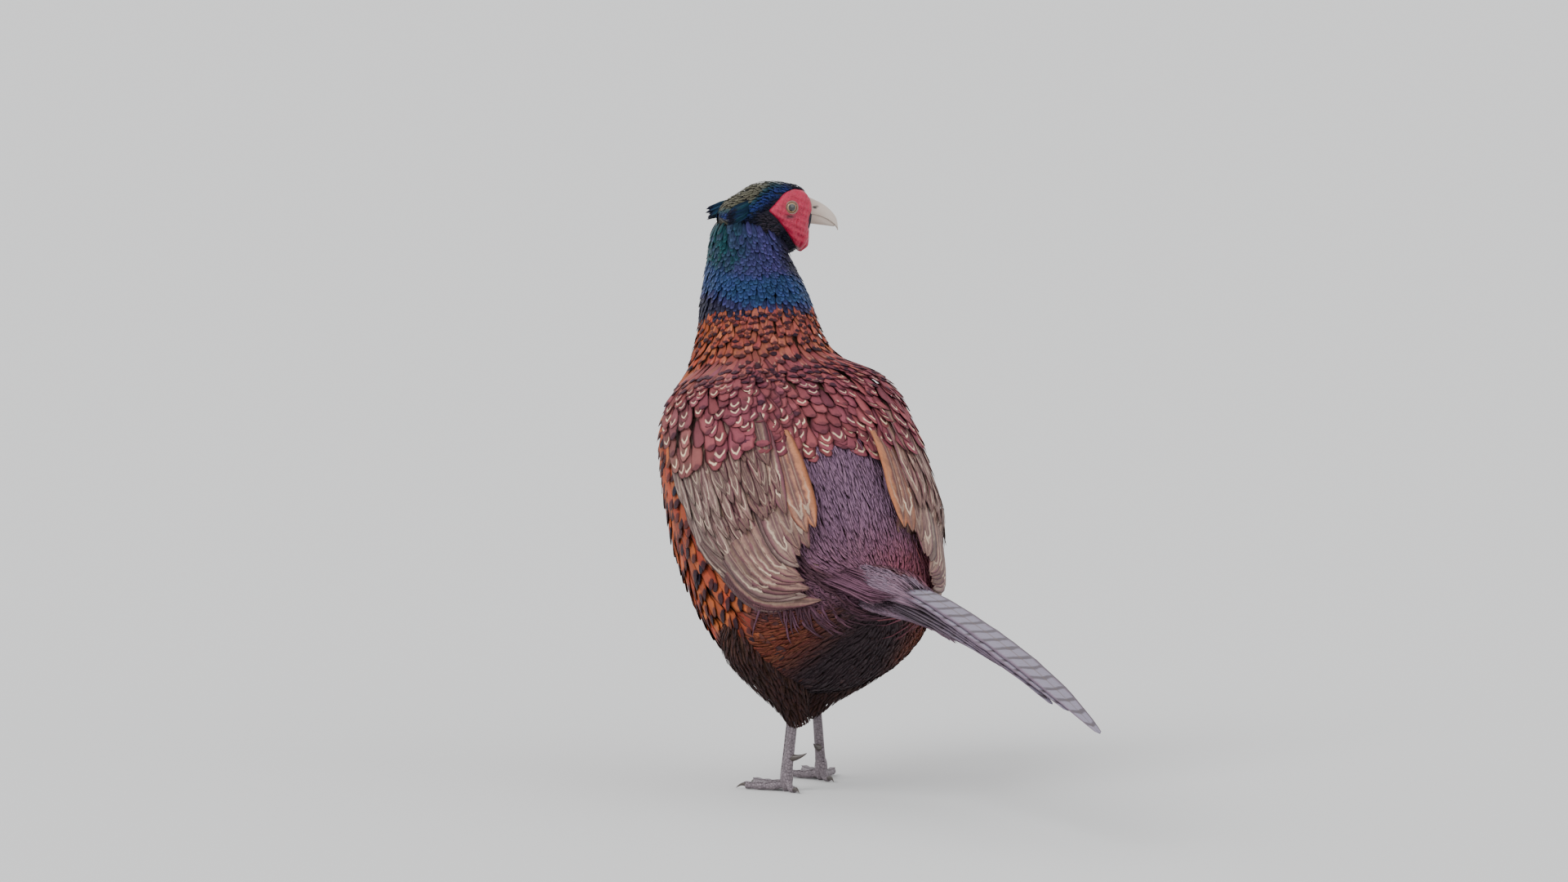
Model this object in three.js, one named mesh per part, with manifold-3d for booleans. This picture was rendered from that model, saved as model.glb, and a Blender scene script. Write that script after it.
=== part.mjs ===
// A cock common pheasant at life size, standing alert on both feet with its head turned over its right
// shoulder. Millimetres, +Z up. The body faces -Y and its left side is +X.

import * as THREE from "three";
import Module from "manifold-3d";
import { mergeVertices } from "three/addons/utils/BufferGeometryUtils.js";

const wasm = await Module();
wasm.setup();

const { Vector3 } = THREE;
const rad = THREE.MathUtils.degToRad;
const lerp = THREE.MathUtils.lerp;

// Driving dimensions

const GAP = 0.3; // kept between pieces that touch
const FAR = 2000; // side of the boxes that cut a piece in two
const UP = new Vector3(0, 0, 1);
const AXES = [new Vector3(1, 0, 0), new Vector3(0, 1, 0), UP];

// The trunk from the tail's root to the top of the neck. Each row is one section: its middle's y and z, its
// lean from upright in degrees, its half width, and its depth to the back and to the belly.
const TRUNK = [
  [142, 163, 8, 6, 4, 4],
  [128, 160, 12, 30, 18, 22],
  [100, 152, 22, 56, 36, 46],
  [62, 150, 33, 80, 62, 88],
  [18, 175, 43, 93, 82, 107],
  [-22, 212, 50, 96, 91, 110],
  [-55, 250, 57, 94, 92, 98],
  [-77, 289, 65, 87, 78, 81],
  [-88, 324, 73, 62.5, 53, 63],
  [-96, 352, 80, 49.5, 47, 49],
  [-105, 382, 83, 42, 43, 43],
  [-115, 409, 86, 33.5, 33, 32],
  [-117, 434, 90, 29, 23, 23],
  [-117, 447, 90, 19, 14, 14],
  [-117, 455, 90, 4, 4, 4],
];
const FULLNESS = 0.9; // of a section: 1 is an ellipse and less is squarer
const COLLAR = 9.45; // the row where the neck's dark plumage begins

// The head, in its own directions: forward from the neck's axis, to its left, and up from the floor.
const NECK_AXIS_Y = -117;
const HEAD_TURN = 95; // degrees to the right of the body's heading
// Rows: forward, middle height, up to the crown, down to the jaw, half width.
const HEAD = [
  [-25, 443, 4, 4, 4],
  [-18, 442, 14, 15, 12],
  [-7, 442, 20, 22, 17],
  [6, 442, 27, 26, 20],
  [20, 442, 28.5, 29, 19.5],
  [33, 442, 27, 29, 17],
  [43, 442, 24, 26, 13.5],
  [50, 444, 16, 17, 9.5],
  [55, 447, 4, 6, 4],
];
const THROAT_CUT = { height: 421, slope: 0.25 }; // where head and neck part, and its fall towards the throat

const EYE = { forward: 30.2, side: 15, height: 450.9, radius: 5.6 };
const LID = { ring: 5.2, thick: 1, out: 4.8 }; // out: from the eye's middle to the lid's

// The bare red face, as an outline seen from the side: forward and height.
const FACE = [
  [11, 449], [18.5, 455.5], [26.5, 462], [36, 464.5], [45, 463], [50.5, 456], [51, 448],
  [47.5, 442], [47, 434], [51, 426], [50, 418], [43.5, 413.5], [35, 421.5], [26, 433], [18.5, 442],
];
const FACE_THICK = 2.4;
const FACE_FROM = 3; // how far from the head's middle the skin of a side begins
// Swellings of the face: forward, height, and half sizes along, across and up.
const LOBES = [
  [45.5, 422, 6, 3.8, 8.2],
  [40, 434.5, 6.5, 2.8, 9],
  [30, 439, 6.5, 2.2, 6],
  [41, 459, 7.5, 2, 3.2],
];

// The bill. Rows: forward, its outer edge, the mouth's edge, half width.
const UPPER_BILL = [
  [42, 455, 445.5, 6.4],
  [50, 456.8, 444.5, 6.6],
  [57, 454.3, 443.2, 5.9],
  [64, 450.5, 440.6, 5],
  [70, 445.6, 437, 3.7],
  [74.5, 439.5, 433, 2.2],
  [76, 432, 429.8, 0.9],
];
const LOWER_BILL = [
  [42, 437.5, 445.2, 5.6],
  [50, 436, 444.2, 5.6],
  [57, 435, 442.7, 4.8],
  [64, 434, 440.2, 3.6],
  [70, 433, 436.7, 2.2],
  [73, 432.6, 434.5, 1],
];
const NOSTRIL = { forward: 57, side: 5.2, height: 449.6, half: [3.2, 1.6, 1.2] };

// Ear tufts: pointed feathers side by side. Degrees out to the side and down, from straight back.
const TUFT = { forward: -8, side: 14.5, height: 452, sweep: 26, drop: 20 };
const TUFT_FEATHERS = { count: 4, length: 23, width: 3.4 };

// Wings, in the trunk's rows and in degrees round it from the back's middle to the wing's own side.
const WING_PLATE = { from: 7.82, to: 4.6, upper: 24, lower: 80, thick: 14 };
// Rows of feathers, of the first and the last in each: the trunk's row and the degrees where they are rooted
// and where they end, and how far off the trunk they lie at root, middle and tip.
const WING_ROWS = [
  // primaries
  {
    count: 3,
    half: 8.5,
    stations: 5,
    root: [[5.4, 79], [5.2, 73]],
    tip: [[2.2, 82], [1.5, 77]],
    off: [[0.8, 0.9, 0.5], [2.6, 4.6, 4]],
  },
  // secondaries
  {
    count: 5,
    half: 10.5,
    stations: 5,
    root: [[5.4, 71], [5, 44]],
    tip: [[1.8, 72], [2.2, 52]],
    off: [[3, 7.4, 6.4], [4, 8.6, 7.4]],
  },
  // tertials
  {
    count: 4,
    half: 11,
    stations: 4,
    root: [[5.4, 38], [5.7, 24]],
    tip: [[2.5, 45], [3.4, 24]],
    off: [[4, 9.6, 9], [4, 10.4, 10]],
  },
  // greater coverts
  {
    count: 5,
    half: 12,
    stations: 4,
    root: [[6.4, 77], [6.1, 34]],
    tip: [[4.3, 74], [4.2, 34]],
    off: [[3, 11, 11], [4, 12.4, 13.4]],
  },
  // median coverts
  {
    count: 4,
    half: 13,
    stations: 4,
    root: [[7.5, 73], [7.2, 42]],
    tip: [[5.6, 73], [5.3, 42]],
    off: [[5, 14, 13.8], [6, 15.6, 16.4]],
  },
  // scapulars
  {
    count: 3,
    half: 12,
    stations: 4,
    root: [[7.4, 38], [6.8, 25]],
    tip: [[5.1, 36], [4.5, 19]],
    off: [[5, 17, 17.2], [4, 17.4, 17.6]],
  },
];
// Feathers: thickness at root and tip, rise from one to the next, steepest slope across, and roundness.
const VANE = { thick: 0.9, thin: 0.6, layer: 1.6, tilt: 0.22, round: 70 };

const TAIL = { root: 130, height: 174.5, slope: 0.02, sag: 0.00045 };
// Tail feathers from the middle pair outwards: length from the root, of the left and the right one.
const RECTRICES = [[355, 398], [335, 328], [292, 298], [250, 246], [210, 213], [175, 170], [141, 145]];
// Half width of a feather, how far its shaft is from the tail's middle, and the step of that between pairs.
const RECTRIX = {
  middle: { half: 12, away: 3, step: 0 },
  others: { half: 8.4, away: 9, step: 0.5 },
  drop: 1.5,
  roof: 70,
};
const TAIL_PITCH = 76; // between the joints of the tail feathers' faces
const TAIL_INSET = 8; // how far before the root they begin
const TAIL_COVERTS = { count: 5, length: [120, 66], half: 10, arc: 76, wide: 21, high: 13, layer: 3 };

// Legs: the thigh's top, the hock and the foot's joint, for each side, and degrees that the foot turns out.
const LEGS = {
  left: { hip: [50, 22, 128], hock: [24, 22, 66], foot: [27, 14, 9], splay: 8 },
  right: { hip: [-46, -2, 123], hock: [-22, -36, 66], foot: [-31, -46, 9], splay: 8 },
};
const THIGH = [12, 31, 37, 28, 15, 8.5]; // radii from above the hip to below the hock
const SHANK = { hock: 5.8, waist: 3.7, foot: 4.6 };
const SCUTES = { count: 7, half: [3, 1.5, 3.9], first: 0.16, last: 0.98 }; // as shares of the shank
// Toes: degrees from the foot's heading to its outer side, length before the claw, radius, root's height.
const TOES = {
  inner: [-34, 32, 3.5, 5.5],
  middle: [0, 44, 3.8, 5.5],
  outer: [32, 35, 3.5, 5.5],
  hind: [172, 15, 2.8, 10],
};
const TOE = { inset: 5, flat: 0.5, pad: [6.5, 6.5, 5.5] }; // flat: how deep the sole is cut off
const CLAW = { length: 10.5, radius: 2, tip: 0.8 };
const SPUR = { height: 27, length: 13, radius: 3.4, turn: 35, rise: 4 };

// Shapes

// A row between the rows of a table, on a smooth curve through them. at counts rows from 0.
function between(rows, at) {
  const last = rows.length - 1;
  const place = Math.min(Math.max(at, 0), last);
  const i = Math.min(Math.floor(place), last - 1);
  const f = place - i;
  const row = (k) => rows[Math.min(Math.max(k, 0), last)];
  return rows[0].map((_, c) => {
    const [p0, p1, p2, p3] = [row(i - 1)[c], row(i)[c], row(i + 1)[c], row(i + 2)[c]];
    const [v0, v1] = [(p2 - p0) / 2, (p3 - p1) / 2];
    return (2 * p1 - 2 * p2 + v0 + v1) * f ** 3 + (3 * p2 - 3 * p1 - 2 * v0 - v1) * f ** 2 + v0 * f + p1;
  });
}

// A closed geometry as a solid, with its faces turned outwards.
function solid(geometry) {
  const bare = geometry.clone();
  bare.deleteAttribute("normal");
  bare.deleteAttribute("uv");
  const merged = mergeVertices(bare, 1e-4);
  const corners = [];
  for (let i = 0; i < merged.index.count; i += 3) {
    const [a, b, c] = [0, 1, 2].map((k) => merged.index.getX(i + k));
    if (a !== b && b !== c && c !== a) corners.push(a, b, c);
  }
  const build = (order) =>
    new wasm.Manifold(
      new wasm.Mesh({
        numProp: 3,
        vertProperties: merged.attributes.position.array,
        triVerts: new Uint32Array(order),
      }),
    );
  const made = build(corners);
  return made.volume() > 0 ? made : build(corners.reverse());
}

// Moves each corner of a geometry to where place(x, y, z) says.
function reshape(geometry, place) {
  const { position } = geometry.attributes;
  for (let i = 0; i < position.count; i++) {
    const p = place(position.getX(i), position.getY(i), position.getZ(i));
    position.setXYZ(i, p.x, p.y, p.z);
  }
  return solid(geometry);
}

// A round closed form. point(turn, run) takes both from 0 to 1, and is one place at run 0 and at run 1.
function loft(around, along, point) {
  const sphere = new THREE.SphereGeometry(1, around, along);
  const { uv, position } = sphere.attributes;
  for (let i = 0; i < position.count; i++) {
    const p = point(uv.getX(i) % 1, 1 - uv.getY(i));
    position.setXYZ(i, p.x, p.y, p.z);
  }
  return solid(sphere);
}

// A bent slab. point(u, v, w) takes its length and thickness from 0 to 1 and its breadth from -1 to 1.
function slab(along, across, point) {
  return reshape(new THREE.BoxGeometry(1, 2, 1, along, across, 1), (x, y, z) => point(x + 0.5, y, z + 0.5));
}

// A ball stretched by half sizes along three directions.
function ball(centre, half, axes = AXES, around = 10, along = 6) {
  return reshape(new THREE.SphereGeometry(1, around, along), (x, y, z) =>
    centre
      .clone()
      .addScaledVector(axes[0], x * half[0])
      .addScaledVector(axes[1], y * half[1])
      .addScaledVector(axes[2], z * half[2]),
  );
}

// A round stem through points, with a radius at each.
function stem(points, radii, around = 8, steps = 8) {
  const curve = new THREE.CatmullRomCurve3(points, false, "centripetal");
  const frames = curve.computeFrenetFrames(steps);
  const size = radii.map((r) => [r]);
  return loft(around, steps, (turn, run) => {
    const i = Math.round(run * steps);
    const radius = run <= 0 || run >= 1 ? 0 : between(size, run * (radii.length - 1))[0];
    return curve
      .getPoint(run)
      .addScaledVector(frames.normals[i], radius * Math.cos(turn * 2 * Math.PI))
      .addScaledVector(frames.binormals[i], radius * Math.sin(turn * 2 * Math.PI));
  });
}

// Everything on the far side of a plane.
function beyond(point, normal) {
  const box = new THREE.BoxGeometry(FAR, FAR, FAR).translate(0, 0, FAR / 2);
  box.applyQuaternion(new THREE.Quaternion().setFromUnitVectors(UP, normal));
  return solid(box.translate(point.x, point.y, point.z));
}

// A solid cut in two at a plane, with the gap between them.
function halves(whole, point, normal) {
  const near = whole.subtract(beyond(point.clone().addScaledVector(normal, -GAP / 2), normal));
  const farPoint = point.clone().addScaledVector(normal, GAP / 2);
  return [near, whole.subtract(beyond(farPoint, normal.clone().negate()))];
}

// The largest closed piece of a solid.
function largest(made) {
  return made.decompose().sort((a, b) => b.volume() - a.volume())[0];
}

const joined = (pieces) => pieces.reduce((all, piece) => all.add(piece));

// A sine or cosine bent so that sections grow fuller or squarer.
const softened = (value) => Math.sign(value) * Math.abs(value) ** FULLNESS;

// The outline of a broad feather: its half width, as a share, from root to tip.
function vaneWidth(u) {
  const rise = 0.55 + 0.45 * Math.sin(Math.min(u / 0.5, 1) * Math.PI * 0.5);
  const roundness = u < 0.7 ? 1 : Math.sqrt(Math.max(1 - ((u - 0.7) / 0.3) ** 2, 0));
  return rise * Math.max(roundness, 0.25);
}

// One flat feather. frame(u) gives its shaft's place, the way out of its upper face and the way to one edge.
// bend(across, u) is how far the vane rises at a distance from the shaft, which is a low ridge.
function vane(frame, half, stations, bend, { width = vaneWidth, run = (u) => 1 - (1 - u) ** 1.35 } = {}) {
  return slab(stations - 1, 2, (share, v, w) => {
    const u = run(share);
    const { place, out, side } = frame(u);
    const across = half * width(u) * v;
    const thick = lerp(VANE.thick, VANE.thin, u) * (v === 0 ? 1.25 : 1);
    return place
      .clone()
      .addScaledVector(side, across)
      .addScaledVector(out, bend(across, u) + (w - 0.5) * thick);
  });
}

// The trunk

function trunkFrame(at) {
  const [y, z, lean, side, back, belly] = between(TRUNK, at);
  return {
    middle: new Vector3(0, y, z),
    up: new Vector3(0, Math.sin(rad(lean)), Math.cos(rad(lean))),
    forward: new Vector3(0, -Math.cos(rad(lean)), Math.sin(rad(lean))),
    side,
    back,
    belly,
  };
}

// A point off the trunk's surface, turn degrees from the back's middle towards the left side.
function trunkPoint(at, turn, off = 0) {
  const f = trunkFrame(at);
  const [c, s] = [Math.cos(rad(turn)), Math.sin(rad(turn))];
  return f.middle
    .clone()
    .addScaledVector(f.up, ((c > 0 ? f.back : f.belly) + off) * softened(c))
    .add(new Vector3((f.side + off) * softened(s), 0, 0));
}

function trunkSolid(off = 0) {
  const last = TRUNK.length - 1;
  return loft(22, 26, (turn, run) => {
    if (run > 0 && run < 1) return trunkPoint(run * last, turn * 360, off);
    const end = trunkFrame(run * last);
    return end.middle.addScaledVector(end.forward, (run * 2 - 1) * (2 + off));
  });
}

// The head

const heading = rad(-90 - HEAD_TURN);
const headForward = new Vector3(Math.cos(heading), Math.sin(heading), 0);
const headLeft = new Vector3(-Math.sin(heading), Math.cos(heading), 0);
const headAxes = [headForward, headLeft, UP];

function headPlace(forward, left, height) {
  const axis = new Vector3(0, NECK_AXIS_Y, height);
  return axis.addScaledVector(headForward, forward).addScaledVector(headLeft, left);
}

function headSolid(off = 0) {
  const last = HEAD.length - 1;
  return loft(18, 13, (turn, run) => {
    const [forward, middle, up, down, side] = between(HEAD, run * last);
    if (run <= 0 || run >= 1) return headPlace(forward + (run * 2 - 1) * (2 + off), 0, middle);
    const [c, s] = [Math.cos(turn * 2 * Math.PI), Math.sin(turn * 2 * Math.PI)];
    const rise = ((c > 0 ? up : down) + off) * softened(c);
    return headPlace(forward, (side + off) * softened(s), middle + rise);
  });
}

// One half of the bill: round outside and flat along the mouth.
function billSolid(rows) {
  const last = rows.length - 1;
  return loft(12, last * 2, (turn, run) => {
    const [forward, outer, mouth, side] = between(rows, run * last);
    if (run <= 0 || run >= 1) return headPlace(forward, 0, mouth);
    const [c, s] = [Math.cos(turn * 2 * Math.PI), Math.sin(turn * 2 * Math.PI)];
    return headPlace(forward, side * s, mouth + (outer - mouth) * Math.max(c, 0));
  });
}

// The face's outline pushed out through one side of the head.
function faceBlock(side) {
  const corners = [...FACE, FACE[0]].map(([x, y]) => new THREE.Vector2(x, y));
  const outline = new THREE.Shape(new THREE.SplineCurve(corners).getPoints(22).slice(0, -1));
  const block = new THREE.ExtrudeGeometry(outline, { depth: 30, bevelEnabled: false });
  return reshape(block, (x, y, z) => headPlace(x, side * (FACE_FROM + z), y));
}

// Where the head's side is, at a distance forward and a height.
function cheek(forward, height) {
  const at = HEAD.findIndex((row) => row[0] > forward);
  const [low, high] = [HEAD[at - 1], HEAD[at]];
  const row = between(HEAD, at - 1 + (forward - low[0]) / (high[0] - low[0]));
  const rise = height > row[1] ? row[2] : row[3];
  const share = Math.min(Math.abs(height - row[1]) / rise, 0.98);
  return row[4] * (1 - share ** (2 / FULLNESS)) ** (FULLNESS / 2);
}

function faceSolid(side, cut) {
  const skin = faceBlock(side).intersect(headSolid(FACE_THICK));
  const lobes = LOBES.map(([forward, height, ...half]) =>
    ball(headPlace(forward, side * (cheek(forward, height) + FACE_THICK / 2), height), half, headAxes, 9, 6),
  );
  const lidAt = headPlace(EYE.forward, side * (EYE.side + LID.out), EYE.height);
  const lid = new THREE.TorusGeometry(LID.ring, LID.thick, 5, 13);
  lid.applyMatrix4(new THREE.Matrix4().makeBasis(headForward, UP, headLeft));
  lid.translate(lidAt.x, lidAt.y, lidAt.z);
  return largest(joined([skin, ...lobes, solid(lid)]).subtract(cut));
}

// An ear tuft: pointed feathers that lean a little apart.
function tuftSolid(side) {
  const root = headPlace(TUFT.forward, side * TUFT.side, TUFT.height);
  const { count, length, width } = TUFT_FEATHERS;
  const feathers = Array.from({ length: count }, (_, i) => {
    const spread = i - (count - 1) / 2;
    const [sweep, drop] = [rad(TUFT.sweep + 5 * spread), rad(TUFT.drop + 9 * spread)];
    const way = headForward
      .clone()
      .multiplyScalar(-Math.cos(sweep) * Math.cos(drop))
      .addScaledVector(headLeft, side * Math.sin(sweep))
      .addScaledVector(UP, -Math.sin(drop) * Math.cos(sweep));
    const from = root.clone().addScaledVector(UP, -1.1 * spread);
    const long = length - 2.2 * Math.abs(spread);
    const points = [0, 0.4, 0.75, 1].map((t) => from.clone().addScaledVector(way, t * long));
    return stem(points, [width * 0.8, width, width * 0.7, 0.4], 6, 4);
  });
  return joined(feathers);
}

// The wings

// The trunk's surface as a feather lies on it: its place, the way out, and the way towards the belly.
function lie(side, at, turn, off) {
  const [da, dt] = [0.01, 0.2];
  const alongSurface = trunkPoint(at - da, side * turn, off).sub(trunkPoint(at + da, side * turn, off));
  const round = trunkPoint(at, side * (turn + dt), off).sub(trunkPoint(at, side * (turn - dt), off));
  const out = alongSurface.clone().cross(round).normalize().multiplyScalar(-side);
  return { place: trunkPoint(at, side * turn, off), out };
}

// One feather of a row. share is its place in the row, from 0 to 1. Its edge towards the belly is raised, so
// that it lies over the next feather.
function wingFeather(side, row, share) {
  const height = (u, part) => {
    const [root, middle, tip] = row.off[0].map((first, k) => lerp(first, row.off[1][k], part));
    return lerp(lerp(root, middle, Math.min(u * 3, 1)), tip, u);
  };
  const pose = (u, part = share) => {
    const mixed = ([first, last]) => first.map((value, k) => lerp(value, last[k], part));
    const [root, tip] = [mixed(row.root), mixed(row.tip)];
    return lie(side, lerp(root[0], tip[0], u), lerp(root[1], tip[1], u), height(u, part));
  };
  const frame = (u) => {
    const { place, out } = pose(u);
    const ahead = pose(Math.min(u + 0.02, 1)).place.sub(pose(Math.max(u - 0.02, 0)).place);
    return { place, out, side: out.clone().cross(ahead).normalize().multiplyScalar(-side) };
  };
  const bend = (across, u) => {
    const steps = row.count - 1;
    const spacing = Math.abs(pose(u, 0).place.sub(pose(u, 1).place).dot(frame(u).side)) / steps;
    const rise = Math.max(VANE.layer - (height(u, 1) - height(u, 0)) / steps, 0);
    return Math.min(rise / spacing, VANE.tilt) * across - across ** 2 / (2 * VANE.round);
  };
  return vane(frame, row.half, row.stations, bend);
}

function wingSolid(side, cut) {
  const { from, to, upper, lower, thick } = WING_PLATE;
  const plate = slab(6, 4, (u, v, w) => {
    const round = Math.sqrt(1 - (1 - Math.min(u / 0.35, 1)) ** 2);
    const turn = (upper + lower) / 2 + ((lower - upper) / 2) * v * (0.35 + 0.65 * round);
    const rim = (1 - 0.8 * v * v) * (0.2 + 0.8 * round) * lerp(1.1, 0.4, u);
    return trunkPoint(lerp(from, to, u), side * turn, w > 0 ? thick * rim : -3);
  });
  const feathers = WING_ROWS.flatMap((row) =>
    Array.from({ length: row.count }, (_, i) => wingFeather(side, row, i / (row.count - 1))),
  );
  return largest(joined([plate, ...feathers]).subtract(cut));
}

// The tail

const tailHeight = (y) => TAIL.height - TAIL.slope * (y - TAIL.root) - TAIL.sag * (y - TAIL.root) ** 2;

// The outline of a tail feather: broad for half its length, then drawn to a long point.
function rectrixWidth(u) {
  return u < 0.5 ? 0.85 + 0.15 * Math.sin(u * Math.PI) : 1 - 0.86 * ((u - 0.5) / 0.5) ** 1.8;
}

function tailSolid(cut) {
  const root = ball(new Vector3(0, TAIL.root + 10, TAIL.height - 7), [19, 32, 9], undefined, 8, 6);
  const feathers = RECTRICES.flatMap((pair, order) =>
    [1, -1].map((side, which) => {
      const { half, away, step } = order === 0 ? RECTRIX.middle : RECTRIX.others;
      const x = side * (away + step * (order - 1));
      const level = RECTRIX.drop * (order === 0 ? (1 - side) / 2 : -order - 1);
      const long = pair[which] + TAIL_INSET;
      const cells = Math.ceil(long / TAIL_PITCH);
      const frame = (u) => {
        const y = TAIL.root - TAIL_INSET + u * long;
        return { place: new Vector3(x, y, tailHeight(y) + level), out: UP, side: AXES[0] };
      };
      const bend = (across) => -((x + across) ** 2) / (2 * RECTRIX.roof);
      const run = (u) => Math.min((u * cells * TAIL_PITCH) / long, 1);
      return vane(frame, half, cells + 1, bend, { width: rectrixWidth, run });
    }),
  );
  const { count, length, half, arc, wide, high, layer } = TAIL_COVERTS;
  const coverts = Array.from({ length: count }, (_, i) => {
    const across = (2 * i) / (count - 1) - 1;
    const arch = (turn, out) => {
      const [c, t] = [Math.cos(rad(turn)), Math.sin(rad(turn))];
      const x = Math.sign(t) * (wide + out) * Math.abs(t) ** 0.7;
      return new Vector3(x, 0, (high + out) * Math.sqrt(c) - high);
    };
    const turn = arc * across;
    const over = arch(turn + 1, 0).sub(arch(turn - 1, 0)).normalize();
    const frame = (u) => {
      const y = TAIL.root - 4 + u * lerp(length[0], length[1], Math.abs(across));
      const sink = 9 * u * u * Math.abs(across);
      const place = arch(turn, 4 + layer * (i % 2) - 9 * (1 - u) ** 5);
      place.add(new Vector3(0, y, tailHeight(y) - sink));
      return { place, out: new Vector3(-over.z, 0, over.x), side: over };
    };
    return vane(frame, half, 4, (x) => -x * x / 60);
  });
  return largest(joined([root, ...feathers, ...coverts]).subtract(cut));
}

// The legs

const FRONT = new Vector3(0, -1, 0);
const ANKLE = 11; // height where shank and foot part
const BELOW = beyond(new Vector3(0, 0, 0), UP.clone().negate());

// A solid made larger by the gap, towards each of the ways.
function grown(made, ways) {
  return joined([made, ...ways.map((way) => made.translate(way.map((share) => share * GAP)))]);
}

const SIDEWAYS = [
  [1, 0, 0],
  [-1, 0, 0],
  [0, 1, 0],
  [0, -1, 0],
];
const DIAGONALS = [
  [1, 1, 0],
  [1, -1, 0],
  [-1, 1, 0],
  [-1, -1, 0],
];
const UPWARD = [[0, 0, 1]];
const EITHER_WAY = [
  [0, 0, 1],
  [0, 0, -1],
];

function toeSolid(foot, way, length, radius, high) {
  const root = foot.clone().setZ(high);
  const end = foot
    .clone()
    .addScaledVector(way, length + TOE.inset)
    .setZ(radius - TOE.flat);
  const knuckle = root.clone().lerp(end, 0.5).setZ(lerp(high, radius, 0.7));
  const cap = end.clone().addScaledVector(way, radius * 0.5);
  const radii = [1.1, 1, 0.9, 0.5].map((share) => share * radius);
  return { made: stem([root, knuckle, end, cap], radii, 6, 5), end };
}

function clawSolid(end, way, radius) {
  const root = end.clone().addScaledVector(way, 0.5);
  const line = [0, 0.5, 1].map((t) => {
    const high = lerp(radius + 1 - Math.abs(t - 0.4), CLAW.tip, t * t);
    return root.clone().addScaledVector(way, CLAW.length * t).setZ(high);
  });
  return stem(line, [CLAW.radius, CLAW.radius * 0.8, 0.4], 6, 4);
}

function spurSolid(side, hock, foot, front) {
  const share = (hock.z - SPUR.height) / (hock.z - foot.z);
  const root = hock.clone().lerp(foot, share).addScaledVector(front, -2);
  const way = front.clone().negate().applyAxisAngle(UP, -side * rad(SPUR.turn));
  const line = [0, 0.5, 1].map((t) =>
    root
      .clone()
      .addScaledVector(way, t * (SPUR.length + 2))
      .addScaledVector(UP, SPUR.rise * t * t),
  );
  return stem(line, [SPUR.radius, SPUR.radius * 0.7, 0.3], 8, 5);
}

function legSolids(name, trunkClear) {
  const side = name === "left" ? 1 : -1;
  const leg = LEGS[name];
  const [hip, hock, foot] = [leg.hip, leg.hock, leg.foot].map((p) => new Vector3(...p));
  const toeWay = (degrees) => FRONT.clone().applyAxisAngle(UP, rad(side * (degrees + leg.splay)));
  const front = toeWay(0);
  const across = front.clone().cross(UP);

  const top = hock.clone().add(new Vector3(0, 1, 6));
  const line = [top, hock, ...[0.3, 0.7, 1].map((t) => hock.clone().lerp(foot, t)), foot.clone().setZ(4)];
  const radii = [SHANK.hock * 0.7, SHANK.hock, SHANK.waist, SHANK.waist, SHANK.foot, 3];
  const shankOf = (off) => stem(line, radii.map((radius) => radius + off), 9, 9);
  const shankWay = foot.clone().sub(hock).normalize();
  const scutes = Array.from({ length: SCUTES.count }, (_, i) => {
    const place = hock.clone().lerp(foot, lerp(SCUTES.first, SCUTES.last, i / (SCUTES.count - 1)));
    place.addScaledVector(front, SHANK.waist * 0.75);
    return ball(place, SCUTES.half, [across, front, shankWay], 6, 4);
  });
  const shank = joined([shankOf(0), ...scutes]);

  const [ankle, aboveAnkle] = [ANKLE, ANKLE + GAP].map((high) => new Vector3(0, 0, high));
  const toes = [];
  const claws = {};
  for (const [toe, [degrees, length, radius, high]] of Object.entries(TOES)) {
    const way = toeWay(degrees);
    const { made, end } = toeSolid(foot, way, length, radius, high);
    toes.push(made);
    claws[toe] = clawSolid(end.setZ(radius), way, radius);
  }
  const pad = ball(foot.clone().setZ(5), TOE.pad, undefined, 8, 5);
  const footSolid = joined([pad, ...toes, shankOf(0)]).subtract(beyond(ankle, UP)).subtract(BELOW);
  const footClear = grown(footSolid, [...SIDEWAYS, ...DIAGONALS, ...UPWARD]);

  const thighLine = [-0.6, -0.25, 0.1, 0.5, 0.9, 1.2].map((t) => hip.clone().lerp(hock, t));
  const solids = {};
  const thigh = stem(thighLine, THIGH, 14, 10);
  solids[`thigh_${name}`] = largest(thigh.subtract(trunkClear).subtract(shankOf(GAP)));
  solids[`shank_${name}`] = largest(shank.subtract(beyond(aboveAnkle, UP.clone().negate())));
  solids[`foot_${name}`] = largest(footSolid);
  for (const [toe, claw] of Object.entries(claws)) {
    solids[`claw_${name}_${toe}`] = largest(claw.subtract(BELOW).subtract(footClear));
  }
  solids[`spur_${name}`] = largest(spurSolid(side, hock, foot, front).subtract(grown(shank, SIDEWAYS)));
  return solids;
}

// Building the nodes

const trunkClear = trunkSolid(GAP);
const clear = trunkClear.add(headSolid(GAP));
const body = trunkSolid().add(headSolid());
const collar = trunkFrame(COLLAR);
const [torso, above] = halves(body, collar.middle, collar.forward);
const throat = UP.clone().addScaledVector(headForward, THROAT_CUT.slope).normalize();
const [neck, skull] = halves(above, headPlace(0, 0, THROAT_CUT.height), throat);

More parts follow.
